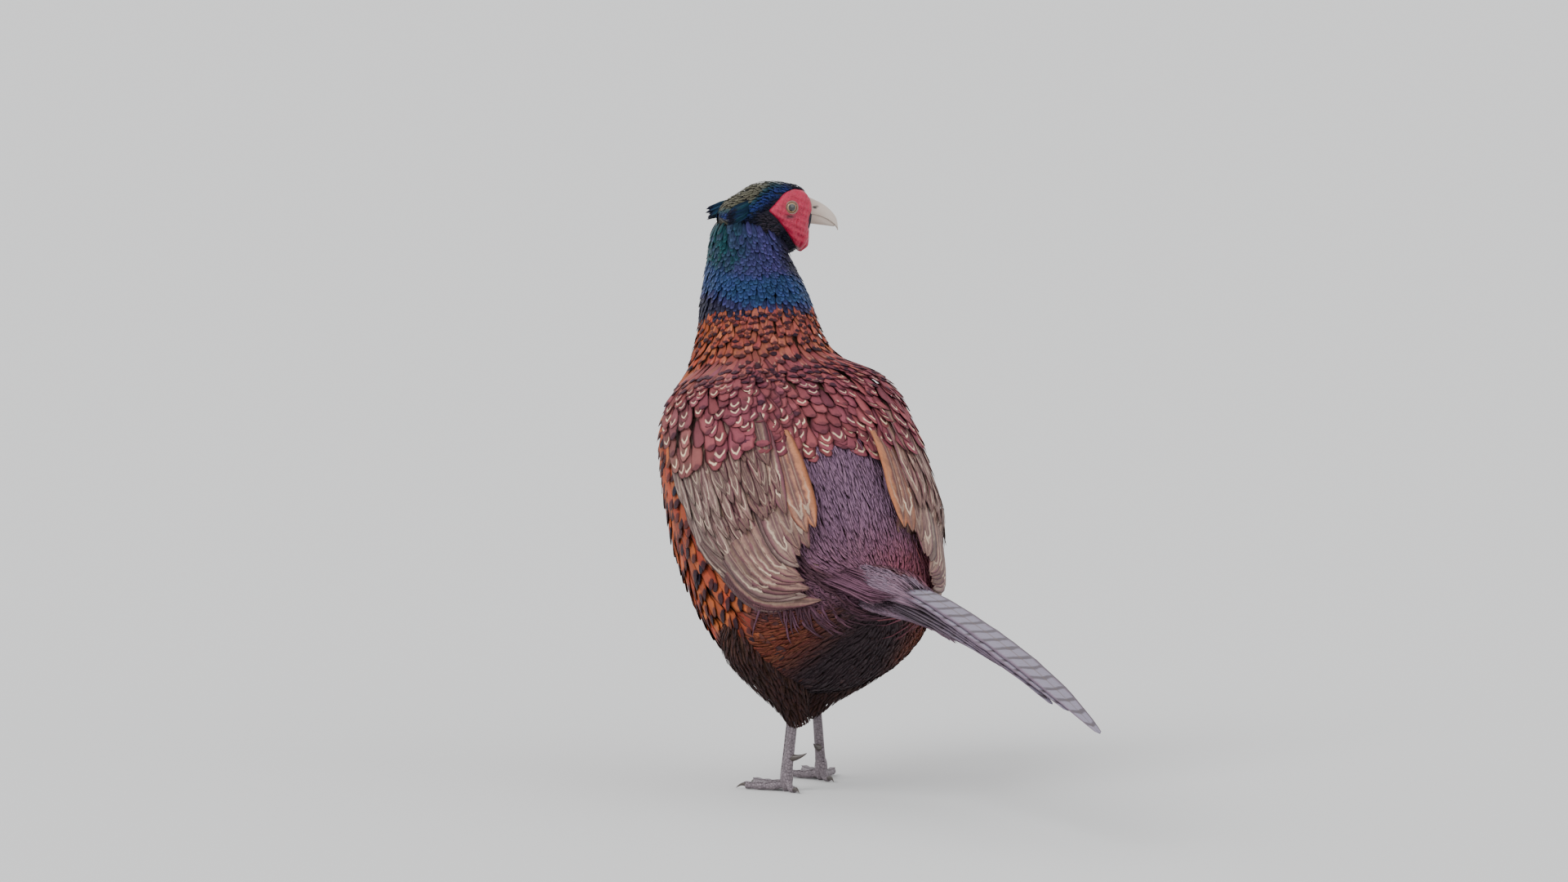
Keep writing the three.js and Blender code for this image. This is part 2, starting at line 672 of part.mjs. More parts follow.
const nodes = { torso, neck };
let head = skull;
for (const [name, side] of [
  ["left", 1],
  ["right", -1],
]) {
  const eyeAt = headPlace(EYE.forward, side * EYE.side, EYE.height);
  const eyeball = (off, ...size) => ball(eyeAt, [0, 1, 2].map(() => EYE.radius + off), undefined, ...size);
  const socket = eyeball(GAP * 2, 10, 7);
  head = head.subtract(socket);
  nodes[`eye_${name}`] = eyeball(0, 14, 9);
  nodes[`face_${name}`] = faceSolid(side, clear.add(socket));
  nodes[`ear_tuft_${name}`] = largest(tuftSolid(side).subtract(clear));
  nodes[`wing_${name}`] = wingSolid(side, trunkClear);
  Object.assign(nodes, legSolids(name, trunkClear));
}
nodes.head = largest(head);

const faces = nodes.face_left.add(nodes.face_right);
const billClear = clear.add(grown(faces, [...SIDEWAYS, ...EITHER_WAY]));
const nostrils = [1, -1].map((side) =>
  ball(headPlace(NOSTRIL.forward, side * NOSTRIL.side, NOSTRIL.height), NOSTRIL.half, headAxes, 8, 4),
);
nodes.upper_bill = largest(billSolid(UPPER_BILL).subtract(billClear).subtract(joined(nostrils)));
nodes.lower_bill = largest(billSolid(LOWER_BILL).subtract(billClear));
nodes.tail = tailSolid(trunkClear);

// Materials and meshes

const LOOKS = {
  torso: [0x8a4424, 0.7],
  neck: [0x1b2a5c, 0.4],
  head: [0x1d3350, 0.4],
  eye: [0xb8a06c, 0.15],
  face: [0xc01c2c, 0.55],
  upper: [0xc9bfa8, 0.4],
  lower: [0xc2b79f, 0.4],
  ear: [0x16324e, 0.4],
  wing: [0x7c5a48, 0.65],
  thigh: [0x3c2620, 0.8],
  shank: [0x8d8797, 0.5],
  foot: [0x85808c, 0.5],
  claw: [0x3a3236, 0.4],
  spur: [0x4a4246, 0.4],
  tail: [0x8a7a82, 0.65],
};

const pheasant = new THREE.Group();
for (const [name, made] of Object.entries(nodes)) {
  const { vertProperties, triVerts } = made.getMesh();
  const geometry = new THREE.BufferGeometry();
  geometry.setAttribute("position", new THREE.BufferAttribute(vertProperties, 3));
  geometry.setIndex(new THREE.BufferAttribute(triVerts, 1));
  geometry.computeVertexNormals();
  const [color, roughness] = LOOKS[name.split("_")[0]];
  const mesh = new THREE.Mesh(geometry, new THREE.MeshStandardMaterial({ color, roughness, metalness: 0 }));
  mesh.name = name;
  pheasant.add(mesh);
}

// The origin is on the floor under the middle of the whole bird.
const bounds = new THREE.Box3().setFromObject(pheasant, true);
const middle = bounds.getCenter(new Vector3());
pheasant.position.set(-middle.x, -middle.y, -bounds.min.z);

export default pheasant;
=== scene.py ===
# %% [markdown]
# # A cock pheasant, dressed feather by feather
#
# The solids give the bird's true form. This file lays the plumage over them: a skin a few millimetres
# inside the outline, and on it each feather as a thin, closed vane of mesh that starts at its root and
# lies back over the next ones, as tiles do. All sizes are the bird's own, in millimetres, and are turned
# into metres only when a mesh is made.

# %% The frame
import math

import bmesh
import bpy
import numpy as np
from mathutils import Matrix, Vector
from mathutils.kdtree import KDTree


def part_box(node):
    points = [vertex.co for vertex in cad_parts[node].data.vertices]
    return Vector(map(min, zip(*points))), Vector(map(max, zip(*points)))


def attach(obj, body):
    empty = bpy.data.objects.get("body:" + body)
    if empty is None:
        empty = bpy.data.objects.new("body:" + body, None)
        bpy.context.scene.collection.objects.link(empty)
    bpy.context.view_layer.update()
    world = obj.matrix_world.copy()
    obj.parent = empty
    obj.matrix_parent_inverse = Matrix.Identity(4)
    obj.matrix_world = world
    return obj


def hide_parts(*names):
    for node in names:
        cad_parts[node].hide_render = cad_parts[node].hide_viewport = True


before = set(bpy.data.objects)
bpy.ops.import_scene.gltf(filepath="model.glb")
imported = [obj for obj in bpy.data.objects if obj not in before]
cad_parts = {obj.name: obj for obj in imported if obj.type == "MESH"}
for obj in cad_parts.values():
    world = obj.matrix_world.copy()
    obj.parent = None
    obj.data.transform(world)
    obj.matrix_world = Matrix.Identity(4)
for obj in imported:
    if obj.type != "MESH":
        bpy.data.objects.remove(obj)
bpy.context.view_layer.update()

# %% [markdown]
# ## Where things are
#
# The bird's sizes are given with the point on the floor between its feet as their origin. The packed
# solids are centred on their whole outline, tail included, so one shift joins the two. The left eye is a
# small round solid whose middle is known in both, and it gives that shift.

# %% Places on the head
HEAD_TURN = 95
NECK_AXIS_Y = -117
EYE = {"forward": 30.2, "side": 15.0, "height": 450.9, "radius": 5.6}

heading = math.radians(-90 - HEAD_TURN)
HEAD_FORWARD = np.array([math.cos(heading), math.sin(heading), 0.0])
HEAD_LEFT = np.array([-math.sin(heading), math.cos(heading), 0.0])
UP = np.array([0.0, 0.0, 1.0])
SIGNS = {"left": 1, "right": -1}


def head_place(forward, left, height):
    """Points by their distance forward from the neck's axis, to the head's left, and above the floor."""
    forward, left, height = np.broadcast_arrays(forward, left, height)
    start = np.array([0.0, NECK_AXIS_Y, 0.0])
    return start + forward[..., None] * HEAD_FORWARD + left[..., None] * HEAD_LEFT + height[..., None] * UP


eye_low, eye_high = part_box("eye_left")
SHIFT = np.array((eye_low + eye_high) / 2) - head_place(EYE["forward"], EYE["side"], EYE["height"]) / 1000


def metres(points):
    return np.asarray(points, float) / 1000 + SHIFT


print("shift from the feet's origin, in metres:", SHIFT.round(4))

# %% [markdown]
# ## Camera, floor and light
#
# The bird is seen from behind and a little above, through a long lens, so that it is nearly in parallel
# view. The camera stands 30 m away, and its lens follows from how many pixels a millimetre of the bird
# takes. A pale floor under a bright, cloudy sky and three wide suns keep the colours of the plumage plain.

# %% Camera
VIEW = {
    "azimuth": 155, "elevation": 6, "distance": 30.0, "pixels_per_mm": 1.55, "right": -20.6, "up": 274.0
}
IMAGE_WIDTH = 1920
SENSOR = 36.0


def camera_axes(azimuth, elevation):
    a, e = math.radians(azimuth), math.radians(elevation)
    back = np.array([math.sin(a) * math.cos(e), -math.cos(a) * math.cos(e), math.sin(e)])
    right = np.array([math.cos(a), math.sin(a), 0.0])
    return right, np.cross(back, right), back


def add_camera():
    right, up, back = camera_axes(VIEW["azimuth"], VIEW["elevation"])
    aim = metres(right * VIEW["right"] + up * VIEW["up"])
    data = bpy.data.cameras.new("camera")
    data.sensor_width = SENSOR
    data.lens = SENSOR * VIEW["distance"] / (IMAGE_WIDTH / VIEW["pixels_per_mm"] / 1000)
    data.clip_end = 200
    camera = bpy.data.objects.new("camera", data)
    turn = Matrix([right, up, back]).transposed().to_4x4()
    camera.matrix_world = Matrix.Translation(aim + back * VIEW["distance"]) @ turn
    bpy.context.scene.collection.objects.link(camera)
    bpy.context.scene.camera = camera
    return camera


camera = add_camera()
print("lens", round(camera.data.lens, 1), "mm")

# %% Floor and light
FLOOR_SIZE = 160.0
FLOOR_COLOUR = (0.62, 0.62, 0.615, 1)
# Suns: azimuth and elevation of where they stand, the angle they fill, and strength.
SUNS = {"key": (112, 44, 35, 2.0), "fill": (200, 26, 60, 0.9), "back": (10, 38, 50, 0.65)}
SKY = (0.93, 0.94, 0.96, 1)
SKY_STRENGTH = 1.1


def add_floor():
    bpy.ops.mesh.primitive_plane_add(size=FLOOR_SIZE)
    floor = bpy.context.object
    floor.name = "floor"
    paint = bpy.data.materials.new("floor_paint")
    paint.use_nodes = True
    paint.node_tree.nodes["Principled BSDF"].inputs["Base Color"].default_value = FLOOR_COLOUR
    paint.node_tree.nodes["Principled BSDF"].inputs["Roughness"].default_value = 0.9
    floor.data.materials.append(paint)


def add_lights():
    for name, (azimuth, elevation, angle, strength) in SUNS.items():
        data = bpy.data.lights.new(name, "SUN")
        data.angle = math.radians(angle)
        data.energy = strength
        light = bpy.data.objects.new(name, data)
        light.rotation_mode = "QUATERNION"
        light.rotation_quaternion = Vector(camera_axes(azimuth, elevation)[2]).to_track_quat("Z", "Y")
        bpy.context.scene.collection.objects.link(light)
    world = bpy.data.worlds.new("sky")
    world.use_nodes = True
    world.node_tree.nodes["Background"].inputs["Color"].default_value = SKY
    world.node_tree.nodes["Background"].inputs["Strength"].default_value = SKY_STRENGTH
    bpy.context.scene.world = world


add_floor()
add_lights()
print(len(SUNS), "suns")

# %% [markdown]
# ## Forms that feathers grow on
#
# Trunk, head and thighs are each a row of sections, joined by a smooth curve through them. A place on
# such a form has three numbers: how far along the sections it is, how many degrees round from the back's
# middle, and how far off the surface. Feathers, skin and unwrap all use the same three numbers, so they
# can't disagree. The sizes are those of the solids.

# %% A form from sections
FULLNESS = 0.9
STEP_AT, STEP_TURN = 0.01, 0.4  # for the slopes of a surface


def between(rows, at):
    """Rows between the rows of a table, on a smooth curve through them."""
    table = np.asarray(rows, float)
    last = len(table) - 1
    place = np.clip(at, 0, last)
    i = np.minimum(place.astype(int), last - 1)
    f = (place - i)[..., None]
    p0, p1, p2, p3 = (table[np.clip(i + k, 0, last)] for k in (-1, 0, 1, 2))
    v0, v1 = (p2 - p0) / 2, (p3 - p1) / 2
    return (2 * p1 - 2 * p2 + v0 + v1) * f**3 + (3 * p2 - 3 * p1 - 2 * v0 - v1) * f**2 + v0 * f + p1


def softened(value):
    return np.sign(value) * np.abs(value) ** FULLNESS


def unit(vectors):
    return vectors / np.maximum(np.linalg.norm(vectors, axis=-1, keepdims=True), 1e-9)


class Form:
    """A surface by its sections. lie is +1 where feathers lie towards higher rows, and -1 towards lower."""

    def __init__(self, name, point, rows, lie, patch):
        self.name, self.point, self.rows, self.lie, self.patch = name, point, rows, lie, patch

    def frame(self, at, turn, off=0.0):
        """Places, the way out, and the steps for one row and for one degree."""
        at, turn, off = np.broadcast_arrays(np.asarray(at, float), turn, off)
        along = (self.point(at + STEP_AT, turn, off) - self.point(at - STEP_AT, turn, off)) / (2 * STEP_AT)
        around = self.point(at, turn + STEP_TURN, off) - self.point(at, turn - STEP_TURN, off)
        around = around / (2 * STEP_TURN)
        return self.point(at, turn, off), unit(np.cross(along, around)), along, around

    def unwrap(self, at, turn):
        """The place in the unwrap of the whole skin."""
        left, bottom, width, height = self.patch
        across = (np.asarray(turn, float) + 180) % 360 / 360
        return np.stack([left + width * across, bottom + height * np.clip(at / self.rows, 0, 1)], axis=-1)


print("a quarter of the way along 0, 10, 20:", between([[0], [10], [20]], np.array([0.5])).round(2))

# %% The trunk and neck
# Each row: the section's middle in y and z, its lean from upright, its half width, depth to back and belly.
TRUNK = [
    [142, 163, 8, 6, 4, 4],
    [128, 160, 12, 30, 18, 22],
    [100, 152, 22, 56, 36, 46],
    [62, 150, 33, 80, 62, 88],
    [18, 175, 43, 93, 82, 107],
    [-22, 212, 50, 96, 91, 110],
    [-55, 250, 57, 94, 92, 98],
    [-77, 289, 65, 87, 78, 81],
    [-88, 324, 73, 62.5, 53, 63],
    [-96, 352, 80, 49.5, 47, 49],
    [-105, 382, 83, 42, 43, 43],
    [-115, 409, 86, 33.5, 33, 32],
    [-117, 434, 90, 29, 23, 23],
    [-117, 447, 90, 19, 14, 14],
    [-117, 455, 90, 4, 4, 4],
]


def trunk_point(at, turn, off):
    y, z, lean, side, back, belly = np.moveaxis(between(TRUNK, at), -1, 0)
    lean, angle = np.radians(lean), np.radians(turn)
    c, s = np.cos(angle), np.sin(angle)
    rise = (np.where(c > 0, back, belly) + off) * softened(c)
    return np.stack([(side + off) * softened(s), y + rise * np.sin(lean), z + rise * np.cos(lean)], axis=-1)


trunk = Form("trunk", trunk_point, len(TRUNK) - 1, -1, (0.02, 0.02, 0.62, 0.96))
print("the trunk's girth at its widest:", round(2 * 96 * math.pi), "mm or so")

# %% The head
# Each row: forward, middle height, up to the crown, down to the jaw, half width.
HEAD = [
    [-25, 443, 4, 4, 4],
    [-18, 442, 14, 15, 12],
    [-7, 442, 20, 22, 17],
    [6, 442, 27, 26, 20],
    [20, 442, 28.5, 29, 19.5],
    [33, 442, 27, 29, 17],
    [43, 442, 24, 26, 13.5],
    [50, 444, 16, 17, 9.5],
    [55, 447, 4, 6, 4],
]


def head_point(at, turn, off):
    forward, middle, up, down, side = np.moveaxis(between(HEAD, at), -1, 0)
    angle = np.radians(turn)
    c, s = np.cos(angle), np.sin(angle)
    rise = (np.where(c > 0, up, down) + off) * softened(c)
    return head_place(forward, (side + off) * softened(s), middle + rise)


head = Form("head", head_point, len(HEAD) - 1, -1, (0.66, 0.52, 0.32, 0.46))
print("from the nape to the forehead:", HEAD[-1][0] - HEAD[0][0], "mm")

# %% The thighs
LEGS = {
    "left": {"hip": [50, 22, 128], "hock": [24, 22, 66], "foot": [27, 14, 9], "splay": 8},
    "right": {"hip": [-46, -2, 123], "hock": [-22, -36, 66], "foot": [-31, -46, 9], "splay": 8},
}
THIGH = [[-0.6, 12], [-0.25, 31], [0.1, 37], [0.5, 28], [0.9, 15], [1.2, 8.5]]


def thigh_form(side, patch):
    hip, hock = (np.array(LEGS[side][key], float) for key in ("hip", "hock"))
    down = unit(hock - hip)
    ahead = unit(np.cross(down, np.cross([0.0, -1.0, 0.0], down)))
    across = np.cross(down, ahead)

    def point(at, turn, off):
        share, radius = np.moveaxis(between(THIGH, at), -1, 0)
        angle = np.radians(turn)
        reach = (radius + off)[..., None]
        middle = hip + share[..., None] * (hock - hip)
        return middle + reach * (np.cos(angle)[..., None] * ahead - np.sin(angle)[..., None] * across)

    return Form(f"thigh_{side}", point, len(THIGH) - 1, 1, patch)


thighs = {
    "left": thigh_form("left", (0.66, 0.27, 0.32, 0.23)),
    "right": thigh_form("right", (0.66, 0.02, 0.32, 0.23)),
}
for form in (trunk, head, *thighs.values()):
    middle_at = form.rows / 2
    place, out, _, _ = form.frame(middle_at, 90.0)
    print(form.name, "at its side:", place.round(), "faces", out.round(2))

# %% [markdown]
# ## Meshes from arrays
#
# A coat has thousands of feathers, so its mesh is written from whole arrays at once. Each piece gets the
# map OFBake, for baking, and may get more maps and values for its material to read.

# %% Mesh helpers
def mesh_piece(name, points, tris, quads, material, maps=None, values=None, in_metres=False):
    """A mesh object from points, triangles and quads. maps and values are given for each point."""
    points = np.asarray(points, float) if in_metres else metres(points)
    tris = np.asarray(tris, int).reshape(-1, 3)
    quads = np.asarray(quads, int).reshape(-1, 4)
    corners = np.concatenate([tris.ravel(), quads.ravel()])
    starts = np.concatenate([np.arange(len(tris)) * 3, len(tris) * 3 + np.arange(len(quads)) * 4])
    mesh = bpy.data.meshes.new(name)
    mesh.vertices.add(len(points))
    mesh.vertices.foreach_set("co", points.astype(np.float32).ravel())
    mesh.loops.add(len(corners))
    mesh.loops.foreach_set("vertex_index", corners.astype(np.int32))
    mesh.polygons.add(len(starts))
    mesh.polygons.foreach_set("loop_start", starts.astype(np.int32))
    mesh.update(calc_edges=True)
    for key, spots in (maps or {}).items():
        layer = mesh.uv_layers.new(name=key)
        layer.data.foreach_set("uv", np.asarray(spots, np.float32)[corners].ravel())
    for key, numbers in (values or {}).items():
        numbers = np.asarray(numbers, np.float32)
        if numbers.ndim == 2:
            numbers = np.concatenate([numbers, np.ones((len(numbers), 1), np.float32)], axis=1)
            mesh.attributes.new(key, "FLOAT_COLOR", "POINT").data.foreach_set("color", numbers.ravel())
        else:
            mesh.attributes.new(key, "FLOAT", "POINT").data.foreach_set("value", numbers)
    mesh.shade_smooth()
    mesh.materials.append(material)
    piece = bpy.data.objects.new(name, mesh)
    bpy.context.scene.collection.objects.link(piece)
    return piece


def finish_piece(piece, slot, *nodes):
    """Ties a piece to the bird and hides the solids that it stands for."""
    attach(piece, "root")
    if nodes:
        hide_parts(*nodes)
    print(piece.name, len(piece.data.polygons), "faces")
    return piece


def grid_faces(rows, columns, closed=True):
    """Quads of a grid of points whose rows run along and whose columns run round."""
    r, c = np.meshgrid(np.arange(rows - 1), np.arange(columns if closed else columns - 1), indexing="ij")
    nxt = (c + 1) % columns
    here, after = r * columns, (r + 1) * columns
    return np.stack([here + c, here + nxt, after + nxt, after + c], -1).reshape(-1, 4)


def capped_faces(rows, columns):
    """Faces of a tube of points, closed over two end points that come after them."""
    c = np.arange(columns)
    nxt = (c + 1) % columns
    last = (rows - 1) * columns
    low, high = (np.full(columns, rows * columns + k) for k in (0, 1))
    tris = np.concatenate([np.stack([low, nxt, c], -1), np.stack([high, last + c, last + nxt], -1)])
    return tris, grid_faces(rows, columns)


def slab_faces(rows, columns):
    """Upper faces, lower faces and wall between two open sheets of points, one after the other."""
    quads = grid_faces(rows, columns, closed=False)
    right = np.arange(1, rows) * columns + columns - 1
    far = (rows - 1) * columns + np.arange(columns - 2, -1, -1)
    rim = np.concatenate([np.arange(columns), right, far, np.arange(rows - 2, 0, -1) * columns])
    after, lower = np.roll(rim, -1), rows * columns
    return quads, quads[:, ::-1] + lower, np.stack([rim, after, after + lower, rim + lower], -1)


def grid_spots(along, across):
    """Places in the unwrap of a grid of points."""
    return np.stack(np.meshgrid(along, across, indexing="ij"), -1).reshape(-1, 2)


def merged(meshes):
    """Several meshes of points, triangles and quads as one."""
    points, tris, quads, offset = [], [], [], 0
    for p, t, q in meshes:
        points.append(p)
        tris.append(np.asarray(t, int).reshape(-1, 3) + offset)
        quads.append(np.asarray(q, int).reshape(-1, 4) + offset)
        offset += len(p)
    return np.concatenate(points), np.concatenate(tris), np.concatenate(quads)


def outward(piece):
    """Turns all faces of a closed piece outwards."""
    solid = bmesh.new()
    solid.from_mesh(piece.data)
    bmesh.ops.recalc_face_normals(solid, faces=solid.faces)
    solid.to_mesh(piece.data)
    solid.free()


print("a tube of 3 by 4 points has", sum(len(faces) for faces in capped_faces(3, 4)), "faces")


# %% [markdown]
# ## Shader sums
#
# Patterns on feathers are sums of simple masks: a tip, an edge, a chevron. Written as node boxes they are
# hard to read, so one small class wraps a socket and lets Python's own signs add the Math nodes.

# %% Shader sums
class Wire:
    """A socket of a material that can be used in sums as a number."""

    def __init__(self, shade, socket):
        self.shade, self.socket = shade, socket

    def math(self, operation, *others, first=None):
        values = (self if first is None else first, *others)
        return self.shade.node("ShaderNodeMath", {"operation": operation}, dict(enumerate(values)))

    def __add__(self, other):
        return self.math("ADD", other)

    __radd__ = __add__

    def __sub__(self, other):
        return self.math("SUBTRACT", other)

    def __rsub__(self, other):
        return self.math("SUBTRACT", self, first=other)

    def __mul__(self, other):
        return self.math("MULTIPLY", other)

    __rmul__ = __mul__

    def __truediv__(self, other):
        return self.math("DIVIDE", other)

    def __pow__(self, other):
        return self.math("POWER", other)

    def __abs__(self):
        return self.math("ABSOLUTE")

    def sine(self):
        return self.math("SINE")

    def most(self, other):
        return self.math("MAXIMUM", other)


class Shade:
    """A material, its nodes made by one method."""

    def __init__(self, name):
        self.material = bpy.data.materials.new(name)
        self.material.use_nodes = True
        self.tree = self.material.node_tree
        self.tree.nodes.clear()

    def node(self, kind, settings=None, sockets=None, out=0):
        made = self.tree.nodes.new(kind)
        for key, value in (settings or {}).items():
            if key == "stops":
                ramp = made.color_ramp
                while len(ramp.elements) < len(value):
                    ramp.elements.new(1.0)
                for element, (position, colour) in zip(ramp.elements, value):
                    element.position, element.color = position, colour
            else:
                setattr(made, key, value)
        for key, value in (sockets or {}).items():
            if isinstance(value, Wire):
                self.tree.links.new(value.socket, made.inputs[key])
            else:
                made.inputs[key].default_value = value
        return Wire(self, made.outputs[out]) if made.outputs else None

    def value(self, name):
        return self.node("ShaderNodeAttribute", {"attribute_name": name}, out="Fac")

    def colour(self, name):
        return self.node("ShaderNodeAttribute", {"attribute_name": name}, out="Color")

    def vane(self):
        """Across a feather, from -1 to 1 over its breadth, and along it from 0 at the root."""
        spot = self.node("ShaderNodeUVMap", {"uv_map": "Vane"})
        across = self.node("ShaderNodeSeparateXYZ", {}, {0: spot}, out="X") * 2 - 1
        return across, self.node("ShaderNodeSeparateXYZ", {}, {0: spot}, out="Y")

    def place(self):
        return self.node("ShaderNodeTexCoord", out="Object")

    def noise(self, scale, where=None, detail=2.0, stretch=None):
        where = where or self.place()
        if stretch:
            where = self.node("ShaderNodeMapping", {}, {"Vector": where, "Scale": stretch})
        sockets = {"Vector": where, "Scale": scale, "Detail": detail}
        return self.node("ShaderNodeTexNoise", {}, sockets, out="Fac")

    def ramp(self, value, low, high):
        """0 below low, 1 above high, and smooth between."""
        sockets = {"Value": value, "From Min": low, "From Max": high}
        return self.node("ShaderNodeMapRange", {"interpolation_type": "SMOOTHSTEP"}, sockets)

    def mix(self, factor, a, b):
        """Colour a where factor is 0, and b where it is 1."""
        sockets = {0: factor, 6: a, 7: b}
        settings = {"data_type": "RGBA"}
        return self.node("ShaderNodeMix", settings, sockets, out=2)

    def vary(self, colour, hue=0.5, saturation=1.0, value=1.0):
        sockets = {"Hue": hue, "Saturation": saturation, "Value": value, "Color": colour}
        return self.node("ShaderNodeHueSaturation", {}, sockets)

    def surface(self, colour, roughness, height=None, depth=0.0002, **constants):
        """Ends the material in one Principled shader."""
        sockets = {"Base Color": colour, "Roughness": roughness}
        if height is not None:
            bump = {"Height": height, "Strength": 1.0, "Distance": depth}
            sockets["Normal"] = self.node("ShaderNodeBump", {}, bump)
        sockets.update({key.replace("_", " "): value for key, value in constants.items()})
        shader = self.node("ShaderNodeBsdfPrincipled", {}, sockets)
        self.node("ShaderNodeOutputMaterial", {}, {"Surface": shader})
        return self.material


def rgb(red, green, blue):
    return (red, green, blue, 1.0)


WAVE = 6.283  # radians from one crest of a sine to the next
print("a colour for a socket:", rgb(0.5, 0.25, 0.1))


# %% [markdown]
# ## Skin
#
# Under the feathers one skin runs from the tail's root over trunk, neck, head and both thighs. The three
# forms are drawn in by the depth of the coat and fused with a voxel remesh, which also rounds the creases
# where they meet. It is dark, so that the gaps between feathers read as shade.

# %% Skin
COAT = {"trunk": 5.0, "head": 1.6, "thigh_left": 3.5, "thigh_right": 3.5}
SKIN_VOXEL = 0.0028


def loft_mesh(form, inset, rows, columns):
    """A closed mesh of one form, drawn in by inset."""
    at = np.linspace(0, form.rows, rows)[:, None]
    turn = np.arange(columns)[None] * 360 / columns - 180
    points = form.point(*np.broadcast_arrays(at, turn, -inset))
    ends = np.stack([points[0].mean(0), points[-1].mean(0)])
    return np.concatenate([points.reshape(-1, 3), ends]), *capped_faces(rows, columns)


def remeshed(name, meshes, voxel, smoothing, material):
    """One closed skin round several closed meshes."""
    rough = mesh_piece(name + "_rough", *merged(meshes), material)
    outward(rough)
    remesh = rough.modifiers.new("remesh", "REMESH")
    remesh.mode = "VOXEL"
    remesh.voxel_size = voxel
    remesh.use_smooth_shade = True
    smooth = rough.modifiers.new("smooth", "SMOOTH")
    smooth.iterations = smoothing
    bpy.context.view_layer.update()
    mesh = bpy.data.meshes.new_from_object(rough.evaluated_get(bpy.context.evaluated_depsgraph_get()))
    bpy.data.objects.remove(rough)
    mesh.name = name
    piece = bpy.data.objects.new(name, mesh)
    bpy.context.scene.collection.objects.link(piece)
    return piece


class Finder:
    """Finds, for a point in space, the nearest place on a set of forms."""

    def __init__(self, forms, rows=70, columns=90):
        self.forms = forms
        places, self.keys = [], []
        for k, form in enumerate(forms):
            at, turn = np.meshgrid(
                np.linspace(0, form.rows, rows), np.arange(columns) * 360 / columns - 180
            )
            inset = np.full(at.shape, -COAT[form.name])
            places.append(form.point(at, turn, inset).reshape(-1, 3))
            self.keys.append(np.stack([np.full(at.size, k), at.ravel(), turn.ravel()], -1))
        self.keys = np.concatenate(self.keys)
        self.tree = KDTree(len(self.keys))
        for i, place in enumerate(np.concatenate(places)):
            self.tree.insert(place, i)
        self.tree.balance()

    def nearest(self, points):
        return self.keys[[self.tree.find(point)[1] for point in points]]


def unwrap_skin(piece, forms):
    """The map OFBake of the skin, from the nearest place on the forms."""
    mesh = piece.data
    points = np.empty(len(mesh.vertices) * 3)
    mesh.vertices.foreach_get("co", points)
    points = (points.reshape(-1, 3) - SHIFT) * 1000
    keys = Finder(forms).nearest(points)
    spots = np.zeros((len(points), 2))
    for k, form in enumerate(forms):
        chosen = keys[:, 0] == k
        spots[chosen] = form.unwrap(keys[chosen, 1], keys[chosen, 2])
    corners = np.empty(len(mesh.loops), np.int32)
    mesh.loops.foreach_get("vertex_index", corners)
    layer = mesh.uv_layers.new(name="OFBake")
    layer.data.foreach_set("uv", spots[corners].astype(np.float32).ravel())


def painted_shade_skin_material():
    shade = Shade("skin_with_painted_shade")
    # The skin's dark browns, and its near black under the neck, are painted shade: seen through the gaps
    # between feathers, they stand in for the shade there.
    mottle = shade.noise(90.0, detail=4.0)
    height = shade.noise(500.0)
    neck = shade.ramp(shade.node("ShaderNodeSeparateXYZ", {}, {0: shade.place()}, out="Z"), 0.365, 0.39)
    body = shade.mix(mottle, rgb(0.05, 0.022, 0.014), rgb(0.1, 0.04, 0.022))
    return shade.surface(shade.mix(neck, body, rgb(0.008, 0.012, 0.022)), 0.9, height, 0.0004)


SKIN_FORMS = [trunk, head, thighs["left"], thighs["right"]]
lofts = [
    loft_mesh(trunk, COAT["trunk"], 90, 72),
    loft_mesh(head, COAT["head"], 40, 48),
    loft_mesh(thighs["left"], COAT["thigh_left"], 30, 36),
    loft_mesh(thighs["right"], COAT["thigh_right"], 30, 36),
]
skin = remeshed("skin", lofts, SKIN_VOXEL, 6, painted_shade_skin_material())
unwrap_skin(skin, SKIN_FORMS)
finish_piece(skin, "body_plumage", "torso", "neck", "head", "thigh_left", "thigh_right")

# %% [markdown]
# ## How a feather is made
#
# Every feather is one closed vane: a curved upper face, a flatter under face, and both drawn together at
# the root and the tip. Its shaft is a line of places on the form, sinking into the coat at the root and
# rising to the outline at the tip, so that each feather bends with the body and lies over the next. The
# same code makes a 6 mm feather of the crown and a tail feather of forty centimetres.

# %% Feather shapes
# Half widths from root to tip, as shares of the widest, one for each row of points.
ROUND = np.array([0, 0.45, 0.8, 1.0, 0.98, 0.78, 0.42, 0])
ROUND_AT = np.array([0, 0.12, 0.35, 0.6, 0.78, 0.9, 0.97, 1])
POINTED = np.array([0, 0.6, 0.95, 1.0, 0.75, 0.35, 0])
POINTED_AT = np.array([0, 0.15, 0.38, 0.6, 0.8, 0.93, 1])
SMALL = np.array([0, 0.8, 1.0, 0.75, 0])
SMALL_AT = np.array([0, 0.3, 0.62, 0.88, 1])
STRAND = np.array([0, 0.9, 1.0, 0.6, 0])
STRAND_AT = np.array([0, 0.25, 0.55, 0.82, 1])


